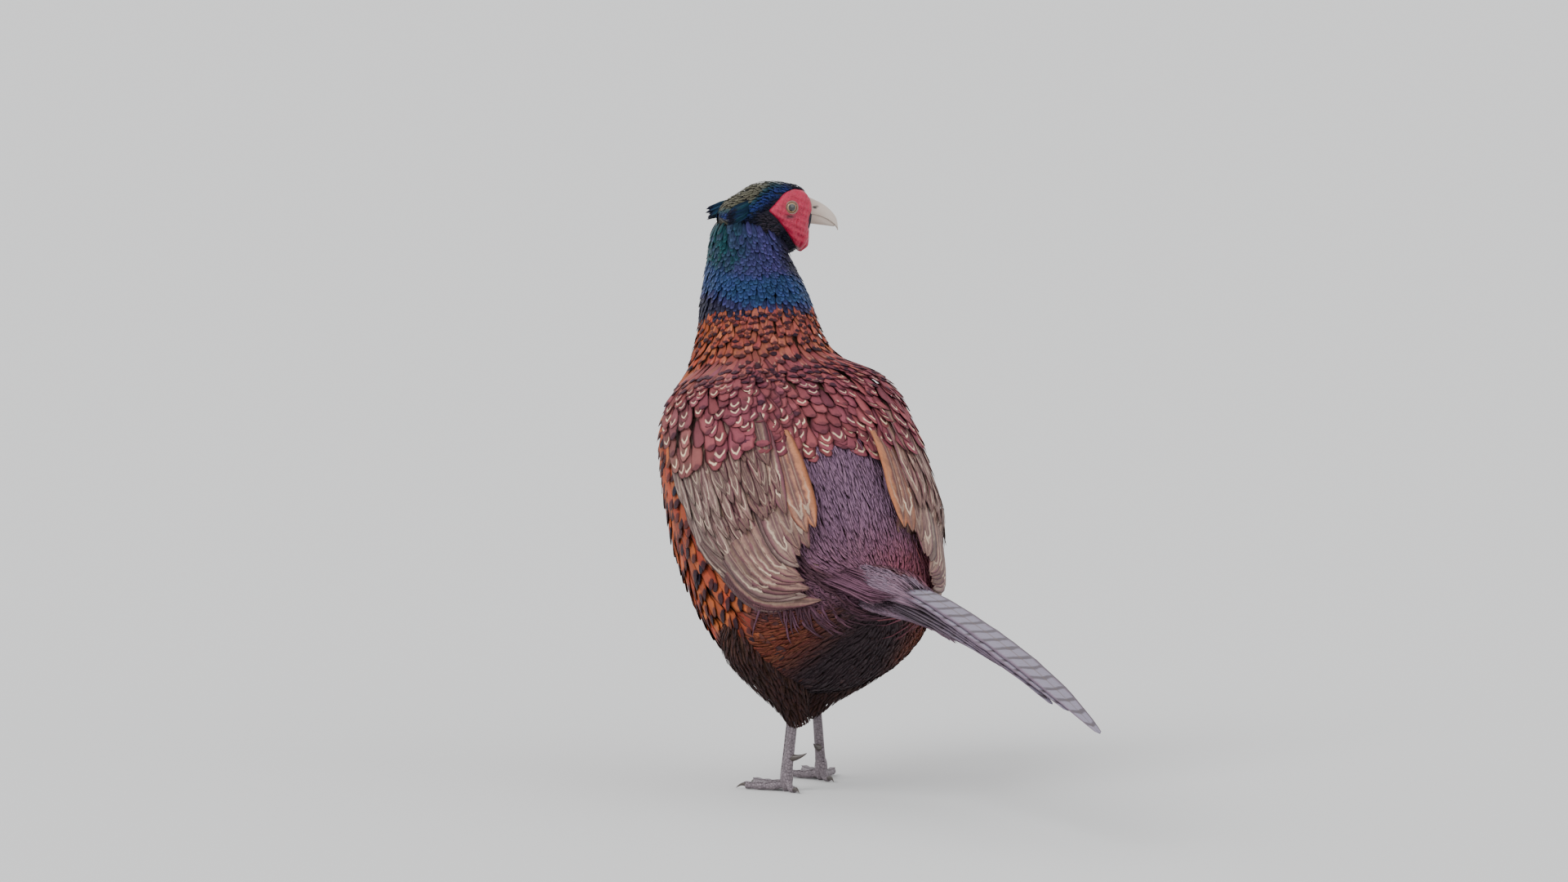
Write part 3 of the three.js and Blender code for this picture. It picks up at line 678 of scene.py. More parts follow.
def vane_faces(rows, columns):
    """Triangles and quads of one vane of rows of points, the first and last being single points."""
    inner = rows - 2

    def top(r, c):
        return 1 + (r - 1) * columns + c

    tip = 1 + inner * columns
    under = tip + 1
    tris, quads = [], []
    for c in range(columns - 1):
        tris += [[0, top(1, c), top(1, c + 1)], [top(inner, c), tip, top(inner, c + 1)]]
    for r in range(1, inner):
        for c in range(columns - 1):
            quads.append([top(r, c), top(r + 1, c), top(r + 1, c + 1), top(r, c + 1)])
        quads.append([top(r, 0), under + r - 1, under + r, top(r + 1, 0)])
        quads.append([under + r - 1, top(r, columns - 1), top(r + 1, columns - 1), under + r])
    tris += [[0, under, top(1, 0)], [0, top(1, columns - 1), under]]
    last = under + inner - 1
    tris += [[tip, top(inner, 0), last], [tip, last, top(inner, columns - 1)]]
    return np.array(tris), np.array(quads)


def vanes(place, out, half, shape, columns, crown, thick, along, fray=0.0, rng=None):
    """Points and faces of many feathers. place and out are for each feather and row of points."""
    count, rows = place.shape[:2]
    way = unit(np.gradient(place, axis=1))
    side = unit(np.cross(out, way))
    out = unit(np.cross(way, side))
    across = np.linspace(-1, 1, columns)
    spread = half[:, None, None] * shape[None, :, None] * across
    if fray:
        spread = spread * (1 + fray * rng.uniform(-1, 1, spread.shape) * np.abs(across))
    drop = -crown[:, None, None] * spread**2
    top = place[:, :, None] + side[:, :, None] * spread[..., None] + out[:, :, None] * drop[..., None]
    under = place - out * thick
    points = np.concatenate(
        [place[:, :1], top[:, 1:-1].reshape(count, -1, 3), place[:, -1:], under[:, 1:-1]], axis=1
    )
    tris, quads = vane_faces(rows, columns)
    step = np.arange(count)[:, None, None] * points.shape[1]
    grid = np.stack(np.broadcast_arrays(across[None] * 0.5 + 0.5, along[1:-1, None]), -1).reshape(-1, 2)
    middle = [[0.5, u] for u in along[1:-1]]
    vane = np.concatenate([[[0.5, 0.0]], grid, [[0.5, 1.0]], middle])
    return points, (tris + step).reshape(-1, 3), (quads + step).reshape(-1, 4), vane


def coat_piece(name, feathers, roots, material, values=None):
    """The mesh of a coat. roots are the feathers' places in the unwrap, and values one number for each."""
    points, tris, quads, vane = feathers
    count, each = points.shape[:2]
    small = (vane - 0.5) * BAKE_PATCH
    bake = roots[:, None] + small[None]
    maps = {"OFBake": bake.reshape(-1, 2), "Vane": np.tile(vane, (count, 1))}
    spread = {key: np.repeat(numbers, each, axis=0) for key, numbers in (values or {}).items()}
    return mesh_piece(name, points.reshape(-1, 3), tris, quads, material, maps, spread)


BAKE_PATCH = 0.003
print("one round feather has", sum(len(part) for part in vane_faces(len(ROUND), 5)), "faces")

# %% [markdown]
# ## Where feathers are rooted
#
# Feathers grow in a loose, even order: never two on one spot, and closer together where they are small.
# Random points that are dropped when they fall too near an earlier one give just that. The spacing is a
# function of the place, so one coat can run from small feathers to large ones.

# %% Rooting and laying
def rooted(form, spacing, count, rng, span=None, wanted=None):
    """Places on a form, no two nearer than spacing(at, turn) says."""
    low, high = span or (0.3, form.rows - 0.3)
    at = rng.uniform(low, high, count)
    turn = rng.uniform(-180, 180, count)
    if wanted is not None:
        kept = wanted(at, turn)
        at, turn = at[kept], turn[kept]
    gap = spacing(at, turn)
    place, _, along, around = form.frame(at, turn)
    weight = np.linalg.norm(np.cross(along, around), axis=-1) / gap**2
    kept = rng.uniform(0, 1, len(at)) < weight / np.quantile(weight, 0.9)
    at, turn, gap, place = at[kept], turn[kept], gap[kept], place[kept]
    cell = float(gap.max())
    cells, chosen = {}, []
    steps = [(i, j, k) for i in (-1, 0, 1) for j in (-1, 0, 1) for k in (-1, 0, 1)]
    boxes = np.floor(place / cell).astype(int).tolist()
    spots = place.tolist()
    for n, (bx, by, bz) in enumerate(boxes):
        x, y, z = spots[n]
        limit = gap[n] ** 2
        near = False
        for i, j, k in steps:
            for m in cells.get((bx + i, by + j, bz + k), ()):
                u, v, w = spots[m]
                if (u - x) ** 2 + (v - y) ** 2 + (w - z) ** 2 < limit:
                    near = True
                    break
            if near:
                break
        if not near:
            cells.setdefault((bx, by, bz), []).append(n)
            chosen.append(n)
    chosen = np.array(chosen)
    return at[chosen], turn[chosen]


def laid(form, at, turn, length, swing, along, low, high, bulge=None, power=1.0):
    """Shafts on a form: for each feather and row of points, the place and the way out."""
    _, _, step_at, step_turn = form.frame(at, turn)
    run = length[:, None] * along[None]
    ats = at[:, None] + form.lie * run * np.cos(swing)[:, None] / np.linalg.norm(step_at, axis=-1)[:, None]
    turns = turn[:, None] + run * np.sin(swing)[:, None] / np.linalg.norm(step_turn, axis=-1)[:, None]
    rise = np.broadcast_to(along[None] ** power, ats.shape)
    low, high = (np.broadcast_to(np.asarray(v, float), at.shape)[:, None] for v in (low, high))
    off = low + (high - low) * rise
    if bulge is not None:
        off = off + bulge(ats, turns)
    place, out, _, _ = form.frame(ats, turns, off)
    return place, out


def clear_of(form, others, at, turn, depth=1.0):
    """Which roots aren't inside another form."""
    place = form.point(*np.broadcast_arrays(at, turn, -COAT[form.name] * 0.5))
    kept = np.ones(len(at), bool)
    for other in others:
        finder = Finder([other], 60, 80)
        keys = finder.nearest(place)
        near, out, _, _ = other.frame(keys[:, 1], keys[:, 2], -COAT[other.name])
        kept &= ((place - near) * out).sum(-1) > -depth
    return kept


trial = rooted(trunk, lambda at, turn: np.full(at.shape, 20.0), 3000, np.random.default_rng(0))
print(len(trial[0]), "roots, 20 mm apart, fit on the trunk")


# %% [markdown]
# ## What a body feather looks like
#
# One material serves every feather of head, neck and body. It reads the feather's own colours, which each
# coat works out from the place on the bird: the ground, the heart, a U-shaped line round the heart, and
# the tip. Fine slanting barbs run out from the shaft, in colour and in height.

# %% Feather material
def feather_material(name, barbs=26.0, loose=0.0):
    shade = Shade(name)
    across, along = shade.vane()
    luck = shade.value("luck")
    waver = (shade.noise(260.0, detail=3.0) - 0.5) * 0.3
    beyond = (along - 0.68).most(0.0) / 0.3
    ring = (abs(across) ** 1.5 + beyond**1.5) ** 0.667 + waver
    heart = (1 - shade.ramp(ring, 0.32, 0.5)) * shade.ramp(along, 0.5, 0.72)
    line = shade.ramp(ring, 0.4, 0.5) * (1 - shade.ramp(ring, 0.6, 0.7)) * shade.ramp(along, 0.62, 0.74)
    tip = shade.ramp(
        along + shade.value("tip_share") * 0.2 - across * across * 0.1 + waver * 0.5, 0.9, 0.98
    )
    strands = (((along + abs(across) * -0.28) * barbs + luck * 3) * WAVE).sine() * 0.5 + 0.5
    shaft = 1 - shade.ramp(abs(across), 0.02, 0.09)
    colour = shade.mix(heart * shade.value("heart_share"), shade.colour("ground"), shade.colour("heart"))
    colour = shade.mix(line * shade.value("line_share"), colour, shade.colour("line"))
    colour = shade.mix(tip * shade.value("tip_share"), colour, shade.colour("tip"))
    grain = shade.noise(700.0, detail=2.0)
    blotch = shade.noise(45.0, detail=3.0)
    # Painted shade: each feather darkens towards its root, where the next feathers lie over it.
    root_painted_shade = shade.ramp(along, 0.7, 0.2) * 0.2
    value = 0.42 + strands * 0.22 + grain * 0.4 + luck * 0.3 + blotch * 0.36 - root_painted_shade
    colour = shade.vary(colour, hue=0.49 + luck * 0.02, value=value)
    gloss = shade.value("gloss")
    height = strands * 0.6 + shaft * 0.5 + grain * loose
    rough, metal = 0.68 - gloss * 0.28, gloss * 0.6
    return shade.surface(colour, rough, height, 0.00018, Metallic=metal, Specular_IOR_Level=0.1)


FEATHER_PAINT = feather_material("body_feather")
HAIR_PAINT = feather_material("loose_feather", barbs=5.0, loose=1.0)
print("the feather material has", len(FEATHER_PAINT.node_tree.nodes), "nodes")


def wrapped(turn):
    """Degrees round a form, from -180 to 180."""
    return (np.asarray(turn) + 180) % 360 - 180


def smooth(value, low, high):
    t = np.clip((np.asarray(value, float) - low) / (high - low), 0, 1)
    return t * t * (3 - 2 * t)


def layered(count, base, *layers):
    """A colour for each feather: a base, and over it colours by masks from 0 to 1."""
    colour = np.tile(np.array(base, float), (count, 1))
    for mask, over in layers:
        mask = np.broadcast_to(mask, (count,))
        colour += mask[:, None] * (np.array(over) - colour)
    return colour


def looks(
    count, ground, heart=None, line=None, tip=None, heart_share=0, line_share=0, tip_share=0, gloss=0
):
    """The values that the feather material reads, filled up where a coat doesn't give them."""
    shares = {"heart_share": heart_share, "line_share": line_share, "tip_share": tip_share, "gloss": gloss}
    values = {key: np.broadcast_to(np.asarray(v, float), (count,)) for key, v in shares.items()}
    for key, colour in {"ground": ground, "heart": heart, "line": line, "tip": tip}.items():
        colour = ground if colour is None else colour
        values[key] = np.broadcast_to(np.asarray(colour, float), (count, 3))
    return values


# Colours as light reflected.
COPPER, ORANGE, RUST = (0.32, 0.086, 0.062), (0.39, 0.1, 0.054), (0.36, 0.076, 0.03)
ROSE, MAROON, MAUVE = (0.2, 0.053, 0.066), (0.12, 0.028, 0.045), (0.19, 0.085, 0.13)
CREAM, LILAC, BRONZE = (0.66, 0.5, 0.34), (0.22, 0.14, 0.17), (0.15, 0.14, 0.1)
VIOLET, BLUE = (0.042, 0.04, 0.13), (0.024, 0.05, 0.135)
TEAL, SLATE = (0.01, 0.052, 0.062), (0.022, 0.048, 0.08)
NAVY, INK = (0.007, 0.006, 0.016), (0.014, 0.013, 0.027)
DARK, BROWN = (0.034, 0.021, 0.026), (0.085, 0.034, 0.028)

STEEPEST = 0.2  # how fast a feather may rise from root to tip, as a share of its length


def coat(
    name, form, spacing, wanted, span, paint, reach=2.6, breadth=0.62, shape=(ROUND, ROUND_AT), columns=5,
    rise=(-4.4, 0.0), swing=6.0, lean=0.0, crown=0.02, thick=0.3, fray=0.1, count=30000, seed=1,
    slot="body_plumage", others=(), bulge=None, material=None,
):
    """Roots, lays and colours all feathers of one part of the plumage."""
    rng = np.random.default_rng(seed)
    at, turn = rooted(form, spacing, count, rng, span, wanted)
    if others:
        kept = clear_of(form, others, at, turn)
        at, turn = at[kept], turn[kept]
    gap = spacing(at, turn)
    length = reach * gap * rng.uniform(0.88, 1.12, len(at))
    half = breadth * gap * rng.uniform(0.9, 1.1, len(at))
    tilt = lean(at, turn) if callable(lean) else np.full(len(at), lean)
    way = np.radians(tilt + rng.normal(0, swing, len(at)))
    high = rise[1] + rng.normal(0, 0.25, len(at))
    low = np.maximum(rise[0], high - STEEPEST * length)
    place, out = laid(form, at, turn, length, way, shape[1], low, high, bulge, 0.8)
    curve = crown / np.maximum(half, 1) * 8
    feathers = vanes(place, out, half, shape[0], columns, curve, thick, shape[1], fray, rng)
    values = paint(at, turn, rng)
    values["luck"] = rng.uniform(0, 1, len(at))
    piece = coat_piece(name, feathers, form.unwrap(at, turn), material or FEATHER_PAINT, values)
    print(name, len(at), "feathers,", end=" ")
    return finish_piece(piece, slot)


# %% [markdown]
# ## Neck
#
# The neck's hackles are small, glossy and in fine rows like scales: teal and slate at the nape, violet
# behind, nearly black in front, with a bright blue band above the dark edge where the copper mantle starts.
# On the real bird the colour comes from thin layers in the barbs, so the feathers get some metal in them.

# %% Neck
def neck_paint(at, turn, rng):
    n = len(at)
    side = wrapped(turn)
    nape = smooth(side, -5, 75) * (1 - smooth(side, 120, 150)) * smooth(at, 10.6, 11.4)
    front = np.maximum(1 - smooth(side, -45, -8), smooth(side, 125, 150)) * smooth(at, 10.2, 10.9)
    wave = at + 0.1 * np.sin(np.radians(side * 3)) - 0.0035 * side - 0.12
    band = smooth(wave, 9.72, 9.95) * (1 - smooth(wave, 10.45, 10.8))
    edge = 1 - smooth(wave, 9.62, 9.86)
    speck = rng.uniform(0, 1, n)
    ground = layered(
        n, VIOLET, (nape, SLATE), (nape * (speck > 0.45), TEAL), (front * 0.9, INK), (band, BLUE),
        (edge * 0.9, INK)
    )
    tip = ground * 1.9 + 0.004
    return looks(n, ground, heart=ground * 0.5, tip=tip, heart_share=0.8, tip_share=0.5, gloss=1.0)


coat(
    "coat_neck", trunk, lambda at, turn: 2.9 + 0.4 * smooth(at, 10.8, 9.8), None, (9.68, 13.4), neck_paint,
    reach=3.4, breadth=0.78, rise=(-3.4, -0.2), swing=6, count=42000, seed=2, slot="head_plumage",
    others=(head,),
)

# %% [markdown]
# ## Mantle, back, breast and flanks
#
# Below the collar the feathers turn copper with dark notches, then rose with a cream U round a dark heart
# on the back, and rust with a black tip on breast and flanks. Under the tail end they fade to dark brown.
# They grow from 3.6 mm apart at the collar to about 10 mm on the flanks.

# %% Body
WING_STACK = 15.5  # how high the folded wing's feathers stand off the trunk
FLANK_LAP = 8.5  # how far the flank's feathers stand out over the wing's lower edge
LOW_BACK = 1.3  # how much higher the lowest feathers of the back lie


def under_wing(at, turn):
    side = np.abs(turn)
    return (at < 7.45) & (at > 2.4) & (side > 30 + 5 * np.abs(at - 4.6)) & (side < 74)


def over_wing(at, turn):
    """How high the stack of wing feathers stands off the trunk."""
    side = np.abs(turn)
    height = WING_STACK * smooth(side, 8, 38) * (1 - smooth(side, 78, 88))
    return height * (1 - smooth(at, 7.3, 8.4)) * smooth(at, 3.2, 4.4)


def beside_wing(at, turn):
    """The back's feathers rise with the wing's inner edge, and the flank's lap over its lower one."""
    side = np.abs(turn)
    edge = smooth(side, 70, 78) * (1 - smooth(side, 84, 108))
    edge = edge * (1 - smooth(at, 7.6, 8.8)) * smooth(at, 3.6, 5.2)
    low_back = LOW_BACK * (1 - smooth(at, 5.2, 6.6)) * (side < 60)
    return over_wing(at, turn) * (side < 52) + low_back + FLANK_LAP * edge


def body_place(at, turn):
    return ~under_wing(at, turn) & ((at > 5.6) | (np.abs(turn) > 66))


def body_spacing(at, turn):
    on_back = 3.6 + 2.3 * smooth(at, 9.8, 8.0) + 2.9 * smooth(at, 8.0, 6.2)
    return on_back + 1.6 * smooth(np.abs(turn), 70, 100)


def body_paint(at, turn, rng):
    n = len(at)
    side = np.abs(wrapped(turn))
    luck = rng.uniform(0, 1, n)
    collar = smooth(at, 8.0, 8.8)
    maroon = smooth(at, 7.2, 7.7) * (1 - collar) * (1 - smooth(side, 60, 85))
    flank = smooth(side, 66, 86)
    belly = smooth(side, 126, 158) * (1 - smooth(at, 4.2, 5.8))
    vent = (1 - smooth(at, 2.8, 4.0)) * flank * 0.7
    dusk = np.clip(belly + vent, 0, 1)
    warm = smooth(side, 20, 66)
    ground = layered(
        n, ROSE, (maroon * 0.35, MAROON), (collar, COPPER), (collar * warm, ORANGE), (flank, RUST),
        (dusk, BROWN)
    )
    ground *= 1 + 0.25 * rng.normal(0, 1, (n, 1)).clip(-1, 1)
    heart = layered(n, MAROON, (flank, (0.2, 0.035, 0.02)), (dusk, DARK))
    chevron = (1 - collar) * (1 - maroon) * (1 - flank) * (luck > 0.5)
    dark_tip = np.clip(collar * 0.95 + maroon * 0.9 + flank + (luck < 0.5) * 0.5, 0, 1) * (0.7 + 0.3 * luck)
    share = np.clip(chevron * 0.6 + 0.5 * collar + 0.3 * flank + 0.4 * dusk, 0, 1)
    tip = layered(n, NAVY, (dusk, DARK))
    return looks(n, ground, heart, CREAM, tip, share, chevron * 0.95, dark_tip, gloss=0.3 * (1 - dusk))


coat(
    "coat_body", trunk, body_spacing, body_place, (2.9, 9.8), body_paint, reach=3.2, breadth=0.76,
    rise=(-4.6, 0.1), swing=8, fray=0.22, count=60000, seed=3,
    bulge=beside_wing, thick=0.2,
)

# %% [markdown]
# ## Rump, belly and vent
#
# The rump's feathers have no hooks to hold their barbs together, so they fall in loose mauve strands, and
# so do the brown ones between the legs and under the tail. Each is a narrow, tapering vane.

# %% Rump and vent
def rump_paint(at, turn, rng):
    n = len(at)
    side = wrapped(turn)
    luck = rng.uniform(0, 1, n)
    # Painted sheen: the upper rump's glossy strands get a paler, bluish lilac ground.
    high = smooth(at, 2.6, 4.6)
    red = (1 - smooth(side, -34, 14)) * (1 - smooth(at, 2.6, 4.4))
    shaded = smooth(side, 30, 62)
    under = smooth(np.abs(side), 78, 100)
    rusty = under * smooth(at, 1.2, 2.8) * (1 - smooth(np.abs(side), 112, 158))
    ground = layered(
        n, MAUVE, (high * 0.7, (0.22, 0.135, 0.22)), (red * 0.7, (0.27, 0.06, 0.085)),
        (shaded * 0.6, (0.1, 0.05, 0.075)),
        (under, DARK), (rusty * 0.85, (0.17, 0.045, 0.024)), (luck * (1 - under) * 0.15, LILAC),
    )
    tip = layered(n, LILAC, (red, ROSE), (under, BROWN))
    return looks(
        n, ground, ground * 0.6, None, tip, 0.5, 0, 0.4 * luck * (1 - shaded), gloss=0.3 * (1 - under)
    )


def rump_place(at, turn):
    side = np.abs(turn)
    return ((at < 5.6) & (side < 36 + 28 * smooth(at, 4.6, 3.6))) | ((at < 3.3) & (side > 76)) | (at < 2.6)


coat(
    "coat_rump", trunk, lambda at, turn: 2.5 + 0.9 * smooth(np.abs(turn), 80, 110), rump_place, (0.45, 6.1),
    rump_paint,
    reach=9.5, breadth=0.5, shape=(STRAND, STRAND_AT), columns=3, rise=(-2.4, 0.4), swing=5, fray=0.3,
    thick=0.2, count=90000, seed=4, material=HAIR_PAINT,
)

# %% [markdown]
# ## Hair at the rump's sides
#
# Where the rump meets wings and thighs, longer strands lean outwards and hang over the edge.

# %% Hair at the rump's sides
def side_paint(at, turn, rng):
    n = len(at)
    luck = rng.uniform(0, 1, n)
    ground = layered(
        n, (0.1, 0.044, 0.062), (luck * 0.6, DARK), ((luck > 0.8) * 0.6, MAUVE),
        ((turn < 0) * 0.5, (0.2, 0.05, 0.06))
    )
    return looks(n, ground, ground * 0.6, None, MAUVE, 0.5, 0, 0.4 * luck, gloss=0.2)


def side_place(at, turn):
    side = np.abs(turn)
    return (side > 34) & (side < 80) & (at < 3.5 - 1.3 * smooth(side, 48, 76))


coat(
    "coat_rump_hair", trunk, lambda at, turn: np.full(at.shape, 3.0), side_place, (0.9, 3.6), side_paint,
    reach=14, breadth=0.4, shape=(STRAND, STRAND_AT), columns=3, rise=(-1.5, 2.6), swing=10,
    lean=lambda at, turn: np.sign(turn) * 66 * smooth(np.abs(turn), 28, 56), fray=0.3, thick=0.2,
    count=20000, seed=5,
    material=HAIR_PAINT,
)

# %% [markdown]
# ## Thighs
#
# Dark, loose, narrow feathers run down each thigh to the hock.

# %% Thighs
def thigh_paint(at, turn, rng):
    n = len(at)
    luck = rng.uniform(0, 1, n)
    ground = layered(
        n, (0.024, 0.012, 0.01), (luck * 0.5, BROWN), (0.5 * (1 - smooth(at, 0.8, 2.2)) * luck, BROWN)
    )
    return looks(n, ground, DARK, None, DARK, 0.5, 0, 0.7)


for side_name, form in thighs.items():
    coat(
        f"coat_thigh_{side_name}", form, lambda at, turn: 3.4 - 1.2 * smooth(at, 2.4, 4.8), None,
        (0.5, 4.85), thigh_paint, reach=4.2, breadth=0.42, shape=(POINTED, POINTED_AT), columns=3,
        rise=(-3.2, 0.2), swing=9, count=16000, seed=5, slot="thigh_plumage", others=(trunk,),
        material=HAIR_PAINT,
    )

# %% [markdown]
# ## Head
#
# The head's feathers are the smallest: bronze on the crown and nape, a blue band from above the eye back
# over the dark cheek, and black forehead and throat. Roots inside the bare face are left out.

# %% Head
FACE = [
    (11, 449), (18.5, 455.5), (26.5, 462), (36, 464.5), (45, 463), (50.5, 456), (51, 448), (47.5, 442),
    (47, 434), (51, 426), (50, 418), (43.5, 413.5), (35, 421.5), (26, 433), (18.5, 442),
]


def head_coordinates(points):
    """Forward, left and height of points in space."""
    from_axis = points - np.array([0.0, NECK_AXIS_Y, 0.0])
    return from_axis @ HEAD_FORWARD, from_axis @ HEAD_LEFT, from_axis[..., 2]


def inside_outline(forward, height, outline, grow=0.0):
    """How far inside an outline places are, negative outside it."""
    corners = np.array(outline, float)
    after = np.roll(corners, -1, axis=0)
    p = np.stack([forward, height], -1)[..., None, :]
    edge = after - corners
    share = np.clip(((p - corners) * edge).sum(-1) / (edge**2).sum(-1), 0, 1)
    far = np.linalg.norm(p - corners - share[..., None] * edge, axis=-1).min(-1)
    y0, y1 = corners[:, 1], after[:, 1]
    crosses = (y0 > p[..., 1]) != (y1 > p[..., 1])
    x = corners[:, 0] + (p[..., 1] - y0) / np.where(y1 == y0, 1, y1 - y0) * edge[:, 0]
    odd = (crosses & (p[..., 0] < x)).sum(-1) % 2 == 1
    return np.where(odd, far, -far) + grow


def head_wanted(at, turn):
    forward, _, height = head_coordinates(head.point(at, turn, np.zeros(at.shape)))
    return (inside_outline(forward, height, FACE) < -0.4) & (forward < 49)


def head_paint(at, turn, rng):
    n = len(at)
    forward, _, height = head_coordinates(head.point(at, turn, np.zeros(at.shape)))
    middle = 447 + 18 * smooth(forward, -14, 24)
    crown = smooth(height, middle + 2, middle + 6) * (1 - smooth(forward, 30, 40))
    nape = smooth(height, 432, 440) * (1 - smooth(forward, -13, -6))
    band = np.exp(-(((height - middle + 2) / 4.2) ** 2)) * (1 - smooth(forward, 32, 40))
    rim = np.exp(-(((height - middle - 3) / 2.4) ** 2)) * (1 - smooth(forward, 24, 34))
    ear = smooth(forward, 2, 9) * (1 - smooth(forward, 20, 27))
    ear = ear * smooth(height, 425, 432) * (1 - smooth(height, 444, 450))
    ground = layered(
        n, (0.011, 0.012, 0.026), (np.clip(crown + nape, 0, 1), BRONZE), (rim * 0.8, (0.02, 0.09, 0.1)),
        (band, (0.028, 0.05, 0.19)), (ear * 0.8, (0.05, 0.042, 0.055)),
    )
    return looks(n, ground, ground * 0.7, None, ground * 1.4, 0.4, 0, 0.4, gloss=0.7)


coat(
    "coat_head", head, lambda at, turn: 1.7 + 0.5 * smooth(at, 3, 0), head_wanted, (0.1, 7.6), head_paint,
    reach=3.0, breadth=0.6, shape=(SMALL, SMALL_AT), columns=3, rise=(-1.3, 0.15), swing=8, thick=0.12,
    count=30000, seed=6, slot="head_plumage",
)

# %% [markdown]
# ## Wings
#
# Each folded wing is a stack of rows that all run towards the tail: primaries lowest, then secondaries,
# tertials, two rows of coverts, a coat of smaller ones, and the scapulars over them. A shaft is a line from
# root to tip over the trunk's own surface, lifted off it row by row, just as on the solids but with more
# feathers in each row.

# %% Quills
QUILL_AT = np.array([0, 0.04, 0.1, 0.18, 0.28, 0.38, 0.48, 0.58, 0.66, 0.74, 0.82, 0.88, 0.93, 0.97, 1])


def quill_width(along):
    body = 0.55 + 0.45 * np.sin(np.minimum(along / 0.5, 1) * np.pi / 2)
    return body * np.where(along < 0.58, 1, 1 - (np.clip(along - 0.58, 0, 1) / 0.42) ** 2.4)


QUILL = quill_width(QUILL_AT)
QUILL[0] = QUILL[-1] = 0
# Each row: feathers, half width, roots and tips as [at, turn] of first and last, and lifts off the trunk
# at root, middle and tip of first and last.
WING_ROWS = {
    "primaries": (8, 8.5, [[5.4, 79], [5.2, 73]], [[2.2, 82], [1.5, 77]], [[0.8, 1.6, 1], [2.6, 4.6, 4.2]]),
    "secondaries": (12, 9, [[5.4, 71], [5, 44]], [[1.8, 73], [2.2, 50]], [[3, 7.4, 6.4], [4, 8.6, 7.4]]),
    "tertials": (7, 10, [[5.4, 38], [5.7, 20]], [[2.5, 46], [3.4, 20]], [[4, 9.6, 9], [4, 10.4, 10]]),
    "greater": (17, 7.5, [[6.4, 77], [6.1, 27]], [[4.0, 77], [3.9, 30]], [[3, 10, 10], [4, 11.4, 12]]),
    "median": (16, 7.5, [[6.9, 77], [6.6, 30]], [[5.0, 76], [4.9, 30]], [[3, 10, 12.2], [4, 11.4, 14]]),
}


def lerp(a, b, share):
    return a + (b - a) * share


def quill_paint(n, row, order, rng):
    """Colours of wing feathers: greyer at the lower edge, orange-buff at the inner one."""
    inner = smooth(order, 0.6, 1) * (row == "tertials")
    outer = 1 - smooth(order, 0, 0.35)
    ground = layered(
        n, (0.22, 0.125, 0.095), (outer * 0.6, (0.2, 0.165, 0.14)), (inner * 0.7, (0.42, 0.15, 0.06))
    )
    edge = layered(n, (0.15, 0.05, 0.068), (outer * 0.5, (0.2, 0.15, 0.13)), (inner, (0.46, 0.16, 0.065)))
    return {
        "ground": ground * rng.uniform(0.6, 1.15, (n, 1)), "edge": edge * rng.uniform(0.6, 1.1, (n, 1)),
        "luck": rng.uniform(0, 1, n)
    }


def row_of_quills(side, row, rng):
    count, half, roots, tips, lifts = WING_ROWS[row]
    order = (np.arange(count) + 0.5) / count
    share = order[:, None]
    u = QUILL_AT[None]
    root, tip = (lerp(np.array(e[0], float), np.array(e[1], float), share) for e in (roots, tips))
    tip = tip + np.stack([rng.uniform(-0.16, 0.16, count), rng.uniform(-1.4, 1.4, count)], -1)
    at, turn = (lerp(root[:, i, None], tip[:, i, None], u) for i in (0, 1))
    start, middle, end = (lerp(lifts[0][i], lifts[1][i], share) for i in range(3))
    off = lerp(lerp(start, middle, np.minimum(3 * u, 1)), end, u) + 0.25 * (np.arange(count)[:, None] % 2)
    mirror = SIGNS[side]
    place, out, _, _ = trunk.frame(at, turn * mirror, off)
    halves = np.full(count, half)
    feathers = vanes(place, out, halves, QUILL, 7, np.full(count, 0.012), 0.5, QUILL_AT, 0.03, rng)
    return feathers, quill_paint(count, row, order, rng)


def joined(parts):
    """Several sets of feathers of the same shape as one."""
    points = np.concatenate([feathers[0] for feathers, _ in parts])
    each = points.shape[1]
    tris, quads = vane_faces(len(QUILL_AT), 7)
    step = np.arange(len(points))[:, None, None] * each
    values = {key: np.concatenate([values[key] for _, values in parts]) for key in parts[0][1]}
    return (points, (tris + step).reshape(-1, 3), (quads + step).reshape(-1, 4), parts[0][0][3]), values


def quill_mesh(name, feathers, values, material):
    """Large feathers, each with a strip of its own in the unwrap."""
    points, tris, quads, vane = feathers
    count, each = points.shape[:2]
    strip = (np.arange(count)[:, None] + 0.08 + 0.84 * vane[None, :, 0]) / count
    bake = np.stack([strip, np.broadcast_to(0.02 + 0.96 * vane[None, :, 1], strip.shape)], -1)
    maps = {"OFBake": bake.reshape(-1, 2), "Vane": np.tile(vane, (count, 1))}
    spread = {key: np.repeat(v, each, axis=0) for key, v in values.items()}
    return mesh_piece(name, points.reshape(-1, 3), tris, quads, material, maps, spread)


